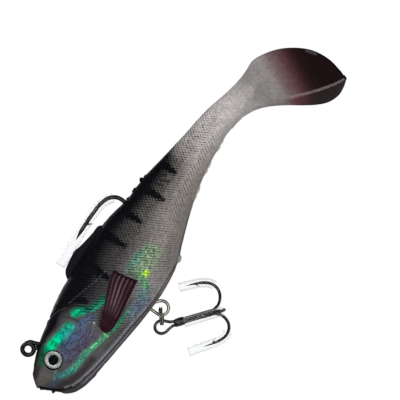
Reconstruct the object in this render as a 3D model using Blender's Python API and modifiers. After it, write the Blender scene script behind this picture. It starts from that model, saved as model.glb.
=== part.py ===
"""A 122 mm soft paddle-tail swimbait, ready rigged, as an assembly of its separate pieces.

The soft body is moulded round a lead weight that carries the jig hook and the belly hanger.
The origin is the centre of the line tie ring. +X runs to the tail, +Z to the back, and the
fish's left side faces -Y. Tables are in millimetres.
"""
import math

import bmesh
import bpy
import numpy as np
from mathutils import Matrix, Vector

MM = 0.001
GAP = 0.3

# The soft body, front to wrist: x, top edge, bottom edge, half width.
BODY = (
    (-7.2, -8.1, -9.2, 0.7),
    (-6.5, -6.8, -10.3, 1.9),
    (-5.2, -5.3, -13.1, 3.5),
    (-3.6, -4.4, -16.2, 4.6),
    (-1.0, -3.1, -18.0, 5.7),
    (3.5, -1.5, -19.3, 7.2),
    (9.0, -0.2, -20.0, 8.2),
    (16.0, 1.4, -20.7, 8.8),
    (26.0, 2.4, -21.6, 8.8),
    (36.0, 2.8, -21.7, 8.0),
    (43.5, 2.7, -20.5, 7.0),
    (50.0, 1.5, -18.0, 5.9),
    (58.0, 1.1, -15.1, 4.8),
    (66.0, -0.1, -12.9, 4.0),
    (75.0, -1.4, -11.5, 3.3),
    (83.0, -2.4, -11.1, 2.8),
    (88.0, -3.5, -12.0, 2.4),
)
# Over 1, it lifts the widest level of a section above its middle.
WIDEST_LIFT = 1.1
# A loop has this many points down each side, and the keel is the ninth.
SIDE_POINTS = 12
KEEL_POINT = 9

# The paddle's fan: step, keel x z, left rim x y z, right rim x y z, half thickness, flatness.
PADDLE = (
    (0.0, 88.0, -10.7, 88.0, 0.0, -3.5, 88.0, 0.0, -12.0, 2.4, 0.0),
    (1.0, 91.0, -11.9, 92.0, 0.0, -4.5, 90.7, 0.2, -13.2, 2.2, 0.1),
    (2.0, 93.9, -13.7, 95.5, -0.6, -5.1, 93.4, 0.8, -14.9, 1.9, 0.3),
    (3.0, 96.6, -16.2, 98.8, -1.6, -5.3, 96.1, 2.4, -17.3, 1.6, 0.55),
    (4.0, 99.0, -18.6, 102.0, -2.6, -5.2, 98.6, 5.2, -20.3, 1.3, 0.8),
    (5.0, 101.8, -21.1, 105.5, -3.3, -6.8, 101.0, 8.8, -23.6, 1.1, 1.0),
    (6.0, 104.8, -23.7, 109.0, -3.4, -9.4, 103.6, 11.8, -26.9, 1.0, 1.0),
    (7.0, 107.8, -26.0, 112.0, -3.1, -13.0, 106.2, 12.8, -29.3, 0.95, 1.0),
    (8.0, 110.3, -27.7, 114.2, -2.6, -17.4, 109.1, 11.1, -30.5, 0.9, 1.0),
    (9.0, 112.1, -28.7, 114.9, -1.7, -22.4, 111.4, 6.6, -30.3, 0.8, 1.0),
    (10.0, 113.4, -29.2, 114.2, -0.6, -27.0, 113.2, 1.6, -29.7, 0.5, 1.0),
)

STEM_AXIS_X = 62.0
STEM_KNUCKLE = 3.4
STEM_LIP_X = STEM_AXIS_X - 2.1
WRIST_AXIS_X = 88.0
WRIST_KNUCKLE = 1.7
WRIST_LIP_X = WRIST_AXIS_X - 1.6
SOCKET_GAP = 0.35

# The low fin on the back, in the plane of symmetry, with its root buried in the body.
DORSAL_FIN = (
    (22.0, 0.5), (22.2, 2.5), (24.0, 3.9), (27.0, 4.3), (30.2, 4.4),
    (35.0, 4.1), (40.0, 3.6), (40.4, 2.2), (40.4, 0.5),
)
DORSAL_FIN_THICK = 1.4

# The lead weight: x, top edge, bottom edge, half width.
WEIGHT = (
    (-3.0, -8.6, -10.6, 0.9),
    (-1.5, -6.8, -12.4, 2.4),
    (2.0, -5.2, -14.2, 3.5),
    (10.0, -4.0, -16.3, 4.7),
    (20.0, -4.2, -17.3, 4.9),
    (30.0, -5.5, -17.2, 4.0),
    (37.0, -7.6, -15.2, 2.6),
    (40.0, -9.4, -13.2, 1.2),
)

HOOK_WIRE = 0.6
TIE_RING_RADIUS = 1.6
TIE_RING_WIRE = 0.65
JIG_HOOK = (
    (1.2, -1.2), (2.4, -2.7), (5.0, -5.6), (9.5, -7.6), (20.0, -8.2), (32.0, -7.8), (40.0, -6.4),
    (45.0, -4.0), (48.2, -1.0), (49.4, 2.0), (49.1, 4.1), (47.8, 5.7), (45.4, 6.7), (42.0, 6.95),
    (37.0, 6.9), (32.7, 6.6),
)
HOOK_COVER = ((24.6, 6.05), (30.0, 6.35), (36.0, 6.7), (41.0, 6.85), (44.6, 6.65), (47.0, 5.9), (48.3, 4.9))
HOOK_COVER_RADIUS = 1.45
HOOK_COVER_WALL = 0.35

HANGER_WIRE = 0.45
HANGER_CENTRE = (30.95, -24.0)
HANGER_RADIUS = 2.0

EYE_CENTRE = (2.1, -7.65)
EYE_RADIUS = 2.7
EYE_TURN = 14.0
EYE_SINK = 1.0
EYE_DISC = 0.35
EYE_CROWN = 0.75

# Foil film under the skin: x, upper edge, lower edge.
FOIL = (
    (-2.8, -6.0, -12.2),
    (0.0, -4.0, -14.2),
    (4.0, -3.5, -15.3),
    (14.0, -4.2, -16.6),
    (26.0, -6.0, -17.6),
    (36.0, -7.6, -18.0),
    (45.0, -9.6, -16.2),
)
FOIL_DEPTH = 0.9
FOIL_THICK = 0.2

# Pectoral fin in its own plane: distance behind the root, height.
PECTORAL_FIN = (
    (0.0, -12.8), (3.4, -11.4), (7.4, -9.9), (10.4, -8.5), (13.8, -7.1), (14.8, -7.5), (15.8, -10.4),
    (16.6, -14.1), (10.4, -15.0), (4.4, -15.8), (0.4, -16.1), (0.0, -15.4),
)
PECTORAL_ROOT = (17.6, 8.85)
PECTORAL_THICK = 0.8
PECTORAL_FLARE = 12.0

RING_CENTRE = (29.0, -25.25)
RING_LEAN = math.radians(36.87)
RING_RADIUS = 2.4
RING_WIRE = 0.25
RING_PITCH = 0.56
RING_POINTS = 22

TREBLE_EYE = (26.5, -27.06)
TREBLE_LEAN = math.radians(38.66)
TREBLE_WIRE = 0.45
TREBLE_EYE_RADIUS = 1.8
TREBLE_WIRE_OFFSET = 0.58
# One arm in its own plane: distance along the shank from the eye, distance from the shank's axis.
TREBLE_ARM = (
    (15.3, 0.58), (16.9, 1.6), (18.0, 3.4), (18.35, 5.3), (17.9, 7.3), (16.6, 8.9), (14.6, 9.8),
    (12.2, 10.2), (9.6, 10.35),
)
# Half of the eye, from the shank round to its far side: along the shank, across it.
TREBLE_EYE_HALF = ((3.9, 0.52), (2.9, 0.66), (1.9, 1.1), (0.9, 1.62), (0.0, 1.8), (-0.9, 1.56), (-1.56, 0.9))
ARM_TURNS = (0.0, 120.0, 240.0)
COVER_RADIUS = 1.3
COVER_WALL = 0.3
COVER_PAST_TIP = (2.6, 1.6, 4.2)
TIP_RADIUS = 0.2


def clear_scene():
    for obj in list(bpy.data.objects):
        bpy.data.objects.remove(obj, do_unlink=True)


def new_collection(name):
    collection = bpy.data.collections.new(name)
    bpy.context.scene.collection.children.link(collection)
    return collection


def material(name, colour, roughness, metallic=0.0, alpha=1.0):
    made = bpy.data.materials.new(name)
    made.use_nodes = True
    shader = made.node_tree.nodes["Principled BSDF"]
    shader.inputs["Base Color"].default_value = (*colour, 1.0)
    shader.inputs["Roughness"].default_value = roughness
    shader.inputs["Metallic"].default_value = metallic
    shader.inputs["Alpha"].default_value = alpha
    return made


def curve_at(table, t):
    """The row of a table at t, on a smooth curve through its rows. The first column is t."""
    rows = np.array(table, float)
    at = rows[:, 0]
    slopes = np.gradient(rows, at, axis=0)
    i = int(np.clip(np.searchsorted(at, t) - 1, 0, len(at) - 2))
    step = at[i + 1] - at[i]
    f = (t - at[i]) / step
    blend = (
        (1 + 2 * f) * (1 - f) ** 2,
        f * (1 - f) ** 2 * step,
        f * f * (3 - 2 * f),
        f * f * (f - 1) * step,
    )
    row = blend[0] * rows[i] + blend[1] * slopes[i] + blend[2] * rows[i + 1] + blend[3] * slopes[i + 1]
    return row[1:]


def smooth_path(points, steps):
    """Points in 3D along a smooth curve through the given ones, this many steps between each pair."""
    rows = np.array(points, float)
    lengths = np.linalg.norm(np.diff(rows, axis=0), axis=1)
    table = np.column_stack((np.concatenate(([0.0], np.cumsum(lengths))), rows))
    made = []
    for start, end in zip(table[:-1, 0], table[1:, 0]):
        made += [curve_at(table, start + (end - start) * i / steps) for i in range(steps)]
    made.append(rows[-1])
    return made


def in_plane(points):
    """(x, z) pairs as points in the plane of symmetry."""
    return [(x, 0.0, z) for x, z in points]


def mesh_object(name, mesh, collection):
    obj = bpy.data.objects.new(name, mesh)
    collection.objects.link(obj)
    return obj


def mesh_from(name, points, faces, collection):
    """A closed mesh of points in millimetres, with its normals made to face out."""
    mesh = bpy.data.meshes.new(name)
    mesh.from_pydata([tuple(MM * float(c) for c in p) for p in points], [], faces)
    shape = bmesh.new()
    shape.from_mesh(mesh)
    bmesh.ops.recalc_face_normals(shape, faces=shape.faces)
    if shape.calc_volume(signed=True) < 0:
        bmesh.ops.reverse_faces(shape, faces=shape.faces)
    shape.to_mesh(mesh)
    shape.free()
    return mesh_object(name, mesh, collection)


def loft(name, loops, collection):
    """A closed skin over loops of equally many points, with a flat cap at each end."""
    count = len(loops[0])
    faces = [tuple(range(count)), tuple(range((len(loops) - 1) * count, len(loops) * count))]
    for ring in range(len(loops) - 1):
        for i in range(count):
            j = (i + 1) % count
            a, b = ring * count, (ring + 1) * count
            faces.append((a + i, a + j, b + j, b + i))
    return mesh_from(name, [p for loop in loops for p in loop], faces, collection)


def side_angles():
    return [math.pi * i / SIDE_POINTS for i in range(SIDE_POINTS + 1)]


def depth_share(angle):
    """How far down a section, from 0 to 1, the point at this angle from the top lies."""
    return ((1 - math.cos(angle)) / 2) ** WIDEST_LIFT


def body_loop(table, x, most_half=None, grow=0.0):
    top, bottom, half = curve_at(table, x)
    top, bottom, half = top + grow, bottom - grow, half + grow
    if most_half is not None:
        half = min(half, most_half)
    angles = side_angles()
    left = [(x, -half * math.sin(a), top + (bottom - top) * depth_share(a)) for a in angles]
    right = [(px, -py, pz) for px, py, pz in left[-2:0:-1]]
    return left + right


def body_half_width(x, z):
    """How far the body's skin is from the plane of symmetry at this x and z."""
    top, bottom, half = curve_at(BODY, x)
    share = min(max((top - z) / (top - bottom), 0.0), 1.0)
    return half * math.sin(math.acos(1 - 2 * share ** (1 / WIDEST_LIFT)))


def paddle_loops(steps):
    """Loops round the fan. Its middle surface is folded along the keel, and the skin lies each side."""
    ts = [PADDLE[-1][0] * i / steps for i in range(steps + 1)]
    shares = [depth_share(a) for a in side_angles()]
    keel_share = shares[KEEL_POINT]
    middle = []
    halves = []
    for t in ts:
        row = curve_at(PADDLE, t)
        keel = np.array((row[0], 0.0, row[1]))
        left, right = row[2:5], row[5:8]
        half, flatness = row[8:10]
        line = []
        for share in shares:
            if share <= keel_share:
                line.append(left + (keel - left) * share / keel_share)
            else:
                line.append(keel + (right - keel) * (share - keel_share) / (1 - keel_share))
        middle.append(line)
        round_edge = [max(math.sin(a), 0.0) for a in side_angles()]
        halves.append([half * ((1 - flatness) * e + flatness * e**0.35) for e in round_edge])
    middle = np.array(middle)
    along = np.gradient(middle, axis=0)
    across = np.gradient(middle, axis=1)
    normal = np.cross(across, along)
    normal /= np.linalg.norm(normal, axis=2, keepdims=True)
    shift = normal * np.array(halves)[:, :, None]
    loops = []
    for line, move in zip(middle, shift):
        under = [p + m for p, m in zip(line, move)]
        over = [p - m for p, m in zip(line, move)]
        loops.append(under + over[-2:0:-1])
    return loops


def set_modifier(obj, kind, name, **values):
    modifier = obj.modifiers.new(name, kind)
    for key, value in values.items():
        setattr(modifier, key, value)
    return modifier


def cut(obj, cutter, crosses_itself=False):
    set_modifier(
        obj, "BOOLEAN", f"cut {cutter.name}", operation="DIFFERENCE", object=cutter, use_self=crosses_itself
    )


def join(obj, other):
    set_modifier(obj, "BOOLEAN", f"join {other.name}", operation="UNION", object=other)


def shade(obj, colour):
    obj.data.shade_smooth()
    obj.data.set_sharp_from_angle(angle=math.radians(40))
    obj.data.materials.append(colour)


def mesh_of_curve(name, path, radius, collection, tip_from=None, caps=True):
    """A wire or tube along the path as a mesh. From tip_from, a share of its length, it tapers."""
    data = bpy.data.curves.new(name, "CURVE")
    data.dimensions = "3D"
    data.bevel_depth = radius * MM
    data.bevel_resolution = 2
    data.use_fill_caps = caps
    spline = data.splines.new("POLY")
    spline.points.add(len(path) - 1)
    for i, (point, place) in enumerate(zip(spline.points, path)):
        point.co = (*(MM * float(c) for c in place), 1.0)
        share = i / (len(path) - 1)
        if tip_from is not None and share > tip_from:
            point.radius = 1 + (TIP_RADIUS - 1) * (share - tip_from) / (1 - tip_from)
    guide = mesh_object(name + "_path", data, collection)
    graph = bpy.context.evaluated_depsgraph_get()
    mesh = bpy.data.meshes.new_from_object(guide.evaluated_get(graph))
    bpy.data.objects.remove(guide, do_unlink=True)
    shape = bmesh.new()
    shape.from_mesh(mesh)
    bmesh.ops.remove_doubles(shape, verts=shape.verts, dist=1e-6)
    shape.to_mesh(mesh)
    shape.free()
    mesh.name = name
    return mesh_object(name, mesh, collection)


def sleeve(name, path, radius, wall, collection):
    """An open tube of this outer radius."""
    tube = mesh_of_curve(name, path, radius, collection, caps=False)
    set_modifier(tube, "SOLIDIFY", "wall", thickness=wall * MM, offset=-1.0)
    return tube


def cylinder(name, radius, depth, matrix, collection, sides=32):
    mesh = bpy.data.meshes.new(name)
    shape = bmesh.new()
    bmesh.ops.create_cone(
        shape, cap_ends=True, segments=sides, radius1=radius * MM, radius2=radius * MM, depth=depth * MM
    )
    shape.to_mesh(mesh)
    shape.free()
    obj = mesh_object(name, mesh, collection)
    obj.matrix_world = matrix
    return obj


def place(x, y, z):
    return Matrix.Translation(Vector((x, y, z)) * MM)


def hide_cutters(collection):
    for obj in collection.objects:
        obj.hide_render = True
        obj.display_type = "WIRE"


def socket_cutter(name, axis_x, radius, collection):
    return cylinder(name, radius + SOCKET_GAP, 60, place(axis_x, 0, -8), collection, 40)


def stations(start, end, spacing, close=()):
    """Evenly spaced x from start to end, after the first rows of the close table."""
    near = [row[0] for row in close[:4]]
    first = near[-1] if near else start
    count = max(2, round((end - first) / spacing))
    even = [first + (end - first) * i / count for i in range(count + 1)]
    return near[:-1] + even


def knuckle_stations(axis_x, radius):
    """(x, most half width) round the front of a knuckle."""
    angles = [math.radians(a) for a in (8, 25, 45, 65, 85)]
    return [(axis_x - radius * math.cos(a), radius * math.sin(a)) for a in angles]


def dorsal_fin(collection):
    data = bpy.data.curves.new("dorsal_fin_outline", "CURVE")
    data.dimensions = "2D"
    data.fill_mode = "BOTH"
    data.extrude = DORSAL_FIN_THICK / 2 * MM
    spline = data.splines.new("POLY")
    spline.points.add(len(DORSAL_FIN) - 1)
    for point, (x, z) in zip(spline.points, DORSAL_FIN):
        point.co = (x * MM, z * MM, 0.0, 1.0)
    spline.use_cyclic_u = True
    return outline_mesh("dorsal_fin", data, Matrix.Rotation(math.pi / 2, 4, "X"), collection)


def outline_mesh(name, data, matrix, collection):
    """The mesh of a filled and extruded outline, with the matrix in its points."""
    guide = mesh_object(name + "_path", data, collection)
    graph = bpy.context.evaluated_depsgraph_get()
    mesh = bpy.data.meshes.new_from_object(guide.evaluated_get(graph))
    bpy.data.objects.remove(guide, do_unlink=True)
    mesh.transform(matrix)
    shape = bmesh.new()
    shape.from_mesh(mesh)
    bmesh.ops.remove_doubles(shape, verts=shape.verts, dist=1e-6)
    bmesh.ops.recalc_face_normals(shape, faces=shape.faces)
    shape.to_mesh(mesh)
    shape.free()
    mesh.name = name
    return mesh_object(name, mesh, collection)


def hanger_path():
    """Down from the weight, round the loop, and back up beside the first leg."""
    cx, cz = HANGER_CENTRE
    front = [(cx - HANGER_RADIUS, 0.0, z) for z in (-14.8, -18.0, -21.0, -23.0)]
    turns = [math.radians(a) for a in range(180, 376, 15)]
    round_loop = [(cx + HANGER_RADIUS * math.cos(a), 0.0, cz + HANGER_RADIUS * math.sin(a)) for a in turns]
    back = [(32.2, 0.0, -22.4), (31.1, 0.0, -21.5), (30.35, 0.0, -20.4), (30.2, 0.0, -18.0), (30.2, 0.0, -14.8)]
    return front + round_loop + back


def eye_matrix(side):
    """The eye's frame: its Z axis looks out of the head, and its origin is on the skin."""
    x, z = EYE_CENTRE
    y = side * body_half_width(x, z)
    out = Vector((-math.sin(math.radians(EYE_TURN)), side * math.cos(math.radians(EYE_TURN)), 0.0))
    return place(x, y, z) @ out.to_track_quat("Z", "Y").to_matrix().to_4x4()


def eye_shift(side, distance):
    return eye_matrix(side) @ Matrix.Translation((0, 0, distance * MM))


def eye_lens(name, side, collection):
    """A clear dome turned about the eye's axis, flat behind."""
    base = EYE_DISC - EYE_SINK + 0.1
    edge = base + 0.35
    profile = [(0.0, edge + EYE_CROWN)]
    for i in range(1, 7):
        angle = math.radians(15 * i)
        profile.append((EYE_RADIUS * math.sin(angle), edge + EYE_CROWN * math.cos(angle)))
    profile += [(EYE_RADIUS, base), (0.0, base)]
    mesh = bpy.data.meshes.new(name)
    mesh.from_pydata([(r * MM, 0.0, h * MM) for r, h in profile], [(i, i + 1) for i in range(len(profile) - 1)], [])
    obj = mesh_object(name, mesh, collection)
    obj.matrix_world = eye_matrix(side)
    set_modifier(
        obj, "SCREW", "turn", steps=32, render_steps=32, use_merge_vertices=True, merge_threshold=1e-6
    )
    return obj


def foil_sheet(name, side, depth, thick, margin, collection):
    """A curved film that follows the skin at this depth."""
    xs = [FOIL[0][0] - margin + (FOIL[-1][0] - FOIL[0][0] + 2 * margin) * i / 14 for i in range(15)]
    rows = 7
    loops = []
    for x in xs:
        inside = min(max(x, FOIL[0][0]), FOIL[-1][0])
        upper, lower = curve_at(FOIL, inside)
        upper, lower = upper + margin, lower - margin
        levels = [upper + (lower - upper) * i / (rows - 1) for i in range(rows)]
        outer = [(x, side * (body_half_width(x, z) - depth), z) for z in levels]
        inner = [(x, side * (body_half_width(x, z) - depth - thick), z) for z in levels]
        loops.append(outer + inner[::-1])
    return loft(name, loops, collection)


def pectoral_fin(name, side, collection):
    data = bpy.data.curves.new(name + "_outline", "CURVE")
    data.dimensions = "2D"
    data.fill_mode = "BOTH"
    data.extrude = PECTORAL_THICK / 2 * MM
    spline = data.splines.new("POLY")
    spline.points.add(len(PECTORAL_FIN) - 1)
    for point, (x, z) in zip(spline.points, PECTORAL_FIN):
        point.co = (x * MM, z * MM, 0.0, 1.0)
    spline.use_cyclic_u = True
    upright = Matrix.Rotation(math.pi / 2, 4, "X")
    flare = Matrix.Rotation(side * math.radians(PECTORAL_FLARE), 4, "Z")
    obj = outline_mesh(name, data, flare @ upright, collection)
    obj.location = Vector((PECTORAL_ROOT[0], side * PECTORAL_ROOT[1], 0.0)) * MM
    return obj


def ring_path():
    """Two close turns of wire in a plane that holds the Y axis."""
    cx, cz = RING_CENTRE
    long_way = np.array((math.cos(RING_LEAN), 0.0, math.sin(RING_LEAN)))
    sideways = np.array((0.0, 1.0, 0.0))
    axis = np.cross(long_way, sideways)
    count = 2 * RING_POINTS - 2
    path = []
    for i in range(count + 1):
        angle = math.radians(90) + 2 * math.pi * i / RING_POINTS
        rise = RING_PITCH * (i / RING_POINTS - 1)
        offset = RING_RADIUS * (math.cos(angle) * long_way + math.sin(angle) * sideways) + rise * axis
        path.append(np.array((cx, 0.0, cz)) + offset)
    return path


def treble_point(along, away, turn):
    """A point this far along the shank from the eye and this far from it, towards the arm at turn."""
    shank = Vector((math.cos(TREBLE_LEAN), 0.0, -math.sin(TREBLE_LEAN)))
    up = Vector((math.sin(TREBLE_LEAN), 0.0, math.cos(TREBLE_LEAN)))
    out = math.cos(math.radians(turn)) * Vector((0, -1, 0)) + math.sin(math.radians(turn)) * up
    return Vector((TREBLE_EYE[0], 0.0, TREBLE_EYE[1])) + along * shank + away * out


def treble_arm(turn):
    return smooth_path([treble_point(s, r, turn) for s, r in TREBLE_ARM], 3)


def treble_pair_path():
    """From one point up its shank, round the eye, and down the other shank to its point."""
    up_turn, down_turn = ARM_TURNS[1:]
    eye = []
    for along, away in TREBLE_EYE_HALF:
        shank = treble_point(along, 0.0, 0.0)
        up = treble_point(along, away, 90.0) - shank
        lift = TREBLE_WIRE_OFFSET * math.cos(math.radians(up_turn)) * min(max(along / 3.9, 0.0), 1.0)
        eye.append((shank, up, Vector((0, -lift, 0))))
    far_side = treble_point(-TREBLE_EYE_RADIUS, 0.0, 0.0)
    first = [shank + up + lift for shank, up, lift in eye]
    second = [shank - up + lift for shank, up, lift in eye]
    loop = smooth_path(first + [far_side] + second[::-1], 2)
    shank_up = [treble_point(s, TREBLE_WIRE_OFFSET, up_turn) for s in (11.5, 7.7, 5.0)]
    shank_down = [treble_point(s, TREBLE_WIRE_OFFSET, down_turn) for s in (5.0, 7.7, 11.5)]
    return treble_arm(up_turn)[::-1] + shank_up + loop + shank_down + treble_arm(down_turn)


def cover_path(turn, past_tip):
    """Over the last part of an arm and on past its point."""
    arm = treble_arm(turn)[-11:]
    last = arm[-1] - treble_point(TREBLE_ARM[-2][0], TREBLE_ARM[-2][1], turn)
    last = last / np.linalg.norm(last)
    return [*arm, arm[-1] + last * past_tip]


def build_soft_body(parts, cutters, colours):
    front = loft("front_body", [body_loop(BODY, x) for x in stations(BODY[0][0], STEM_LIP_X, 2.9, BODY)], parts)
    join(front, dorsal_fin(cutters))
    cut(front, socket_cutter("stem_socket", STEM_AXIS_X, STEM_KNUCKLE, cutters))
    shade(front, colours["body"])

    knuckle = [body_loop(BODY, x, half) for x, half in knuckle_stations(STEM_AXIS_X, STEM_KNUCKLE)]
    rear = [body_loop(BODY, x) for x in stations(STEM_AXIS_X + 0.05, WRIST_LIP_X, 2.9)]
    stem = loft("tail_stem", knuckle + rear, parts)
    cut(stem, socket_cutter("wrist_socket", WRIST_AXIS_X, WRIST_KNUCKLE, cutters))
    shade(stem, colours["stem"])

    knuckle = [body_loop(BODY, x, half) for x, half in knuckle_stations(WRIST_AXIS_X, WRIST_KNUCKLE)]
    paddle = loft("paddle_tail", knuckle + paddle_loops(20), parts)
    shade(paddle, colours["paddle"])
    return front


def build_insert(front, parts, cutters, colours):
    """The lead weight and the two wires cast in it, each in its own clearance."""
    weight_xs = stations(WEIGHT[0][0], WEIGHT[-1][0], 3.6, WEIGHT)
    weight = loft("head_weight", [body_loop(WEIGHT, x) for x in weight_xs], parts)
    room = loft("weight_room", [body_loop(WEIGHT, x, grow=GAP) for x in weight_xs], cutters)
    for i, vertex in enumerate(room.data.vertices):
        ring = i // (2 * SIDE_POINTS)
        if ring in (0, len(weight_xs) - 1):
            vertex.co.x += (-GAP if ring == 0 else GAP) * MM
    hook_path = smooth_path(in_plane(JIG_HOOK), 4)
    hook = mesh_of_curve("jig_hook", hook_path, HOOK_WIRE, parts, tip_from=0.93)
    bpy.ops.mesh.primitive_torus_add(
        major_radius=TIE_RING_RADIUS * MM, minor_radius=TIE_RING_WIRE * MM,
        major_segments=28, minor_segments=10, rotation=(math.pi / 2, 0, 0),
    )
    tie_ring = bpy.context.object
    tie_ring.name = "tie_ring"
    bpy.context.collection.objects.unlink(tie_ring)
    cutters.objects.link(tie_ring)
    join(hook, tie_ring)
    shade(hook, colours["hook"])
    hanger = mesh_of_curve("belly_hanger", hanger_path(), HANGER_WIRE, parts)
    shade(hanger, colours["hook"])
    inside = hook_path[: len(hook_path) - 20]
    hook_room = mesh_of_curve("hook_room", inside, HOOK_WIRE + GAP, cutters)
    hanger_room = mesh_of_curve("hanger_room", hanger_path(), HANGER_WIRE + GAP, cutters)
    cut(front, room)
    for solid in (weight, front):
        cut(solid, hook_room)
        # The clearances of the hanger's two legs run into each other.
        cut(solid, hanger_room, crosses_itself=True)
    shade(weight, colours["lead"])


def build_sides(front, parts, cutters, colours):
    """On each side: the foil under the skin, the eye in its pocket, and the pectoral fin."""
    for side, word in ((-1, "left"), (1, "right")):
        foil = foil_sheet(f"foil_{word}", side, FOIL_DEPTH, FOIL_THICK, 0.0, parts)
        slot = foil_sheet(f"foil_slot_{word}", side, FOIL_DEPTH - GAP, FOIL_THICK + 2 * GAP, GAP, cutters)
        pocket_depth = EYE_SINK + GAP + 2
        pocket = cylinder(
            f"eye_pocket_{word}", EYE_RADIUS + GAP, pocket_depth, eye_shift(side, 2 - pocket_depth / 2), cutters
        )
        hole = cylinder(f"foil_hole_{word}", EYE_RADIUS + GAP, 6, eye_matrix(side), cutters)
        cut(foil, hole)
        cut(front, slot)
        cut(front, pocket)
        shade(foil, colours["foil"])
        disc = cylinder(
            f"eye_disc_{word}", EYE_RADIUS, EYE_DISC, eye_shift(side, EYE_DISC / 2 - EYE_SINK), parts
        )
        shade(disc, colours["eye"])
        shade(eye_lens(f"eye_lens_{word}", side, parts), colours["clear"])
        shade(pectoral_fin(f"pectoral_fin_{word}", side, parts), colours["fin"])


def build_hardware(parts, colours):
    """The hook cover, the split ring, and the treble with its three covers."""
    cover = sleeve("jig_hook_cover", smooth_path(in_plane(HOOK_COVER), 3), HOOK_COVER_RADIUS, HOOK_COVER_WALL, parts)
    shade(cover, colours["clear"])
    shade(mesh_of_curve("split_ring", ring_path(), RING_WIRE, parts), colours["hook"])
    pair = mesh_of_curve("treble_double_hook", treble_pair_path(), TREBLE_WIRE, parts)
    shade(pair, colours["hook"])
    shank = [treble_point(s, TREBLE_WIRE_OFFSET, ARM_TURNS[0]) for s in (4.2, 8.0, 11.8)]
    third = mesh_of_curve("treble_single_hook", shank + treble_arm(ARM_TURNS[0]), TREBLE_WIRE, parts, tip_from=0.86)
    shade(third, colours["hook"])
    for number, (turn, past_tip) in enumerate(zip(ARM_TURNS, COVER_PAST_TIP), 1):
        cover = sleeve(f"treble_cover_{number}", cover_path(turn, past_tip), COVER_RADIUS, COVER_WALL, parts)
        shade(cover, colours["clear"])


def main():
    clear_scene()
    parts = new_collection("swimbait")
    cutters = new_collection("cutters")
    colours = {
        "body": material("soft body", (0.16, 0.15, 0.15), 0.35),
        "stem": material("soft stem", (0.42, 0.40, 0.38), 0.35),
        "paddle": material("soft paddle", (0.16, 0.09, 0.10), 0.35),
        "fin": material("soft fin", (0.06, 0.025, 0.03), 0.4),
        "lead": material("lead", (0.25, 0.26, 0.28), 0.6, 0.8),
        "hook": material("black nickel", (0.04, 0.04, 0.045), 0.25, 1.0),
        "foil": material("foil", (0.05, 0.55, 0.40), 0.2, 0.7),
        "eye": material("eye print", (0.45, 0.46, 0.45), 0.3, 0.5),
        "clear": material("clear plastic", (0.85, 0.87, 0.88), 0.1, alpha=0.4),
    }
    front = build_soft_body(parts, cutters, colours)
    build_insert(front, parts, cutters, colours)
    build_sides(front, parts, cutters, colours)
    build_hardware(parts, colours)
    hide_cutters(cutters)


main()
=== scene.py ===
"""The looks of the soft paddle-tail swimbait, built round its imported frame.

Tables are in millimetres in the frame's own axes: the line tie ring is the origin, +X runs to the
tail, +Z to the back, and the left side faces -Y. Paint is worked out from each point's place.
"""
import math

import bpy
import numpy as np
from mathutils import Matrix, Vector


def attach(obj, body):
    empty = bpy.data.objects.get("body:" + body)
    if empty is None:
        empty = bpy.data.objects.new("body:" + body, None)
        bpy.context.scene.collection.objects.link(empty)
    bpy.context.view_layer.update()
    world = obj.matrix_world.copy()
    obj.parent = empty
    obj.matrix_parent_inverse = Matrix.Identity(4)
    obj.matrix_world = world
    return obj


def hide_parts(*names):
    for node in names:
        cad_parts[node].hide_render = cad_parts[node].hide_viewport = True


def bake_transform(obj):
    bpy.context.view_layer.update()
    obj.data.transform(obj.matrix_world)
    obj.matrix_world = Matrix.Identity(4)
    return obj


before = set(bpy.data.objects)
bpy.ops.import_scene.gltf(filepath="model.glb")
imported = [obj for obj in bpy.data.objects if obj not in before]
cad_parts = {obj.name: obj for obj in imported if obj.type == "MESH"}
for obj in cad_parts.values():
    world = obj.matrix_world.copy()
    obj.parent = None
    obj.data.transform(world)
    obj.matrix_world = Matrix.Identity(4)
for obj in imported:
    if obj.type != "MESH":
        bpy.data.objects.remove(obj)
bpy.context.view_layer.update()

MM = 0.001


def shifted(line, dx, dz):
    """The line moved by this much."""
    return tuple((x + dx, z + dz) for x, z in line)


# The soft body, front to wrist: x, top edge, bottom edge, half width.
BODY = (
    (-7.15, -7.8, -9.6, 1.3),
    (-6.5, -6.8, -10.6, 2.2),
    (-5.2, -5.3, -13.1, 3.5),
    (-3.6, -4.4, -16.2, 4.6),
    (-1.0, -3.1, -18.0, 5.7),
    (3.5, -1.5, -19.3, 7.2),
    (9.0, -0.2, -20.0, 8.2),
    (16.0, 1.4, -20.7, 8.8),
    (26.0, 2.4, -21.6, 8.8),
    (36.0, 2.8, -21.7, 8.0),
    (43.5, 2.7, -20.5, 7.0),
    (50.0, 1.5, -18.0, 5.9),
    (58.0, 1.1, -15.1, 4.8),
    (66.0, -0.1, -12.9, 4.0),
    (75.0, -1.4, -11.5, 3.3),
    (83.0, -2.4, -11.1, 2.8),
    (88.0, -3.5, -12.0, 2.4),
)
WIDEST_LIFT = 1.1
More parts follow.
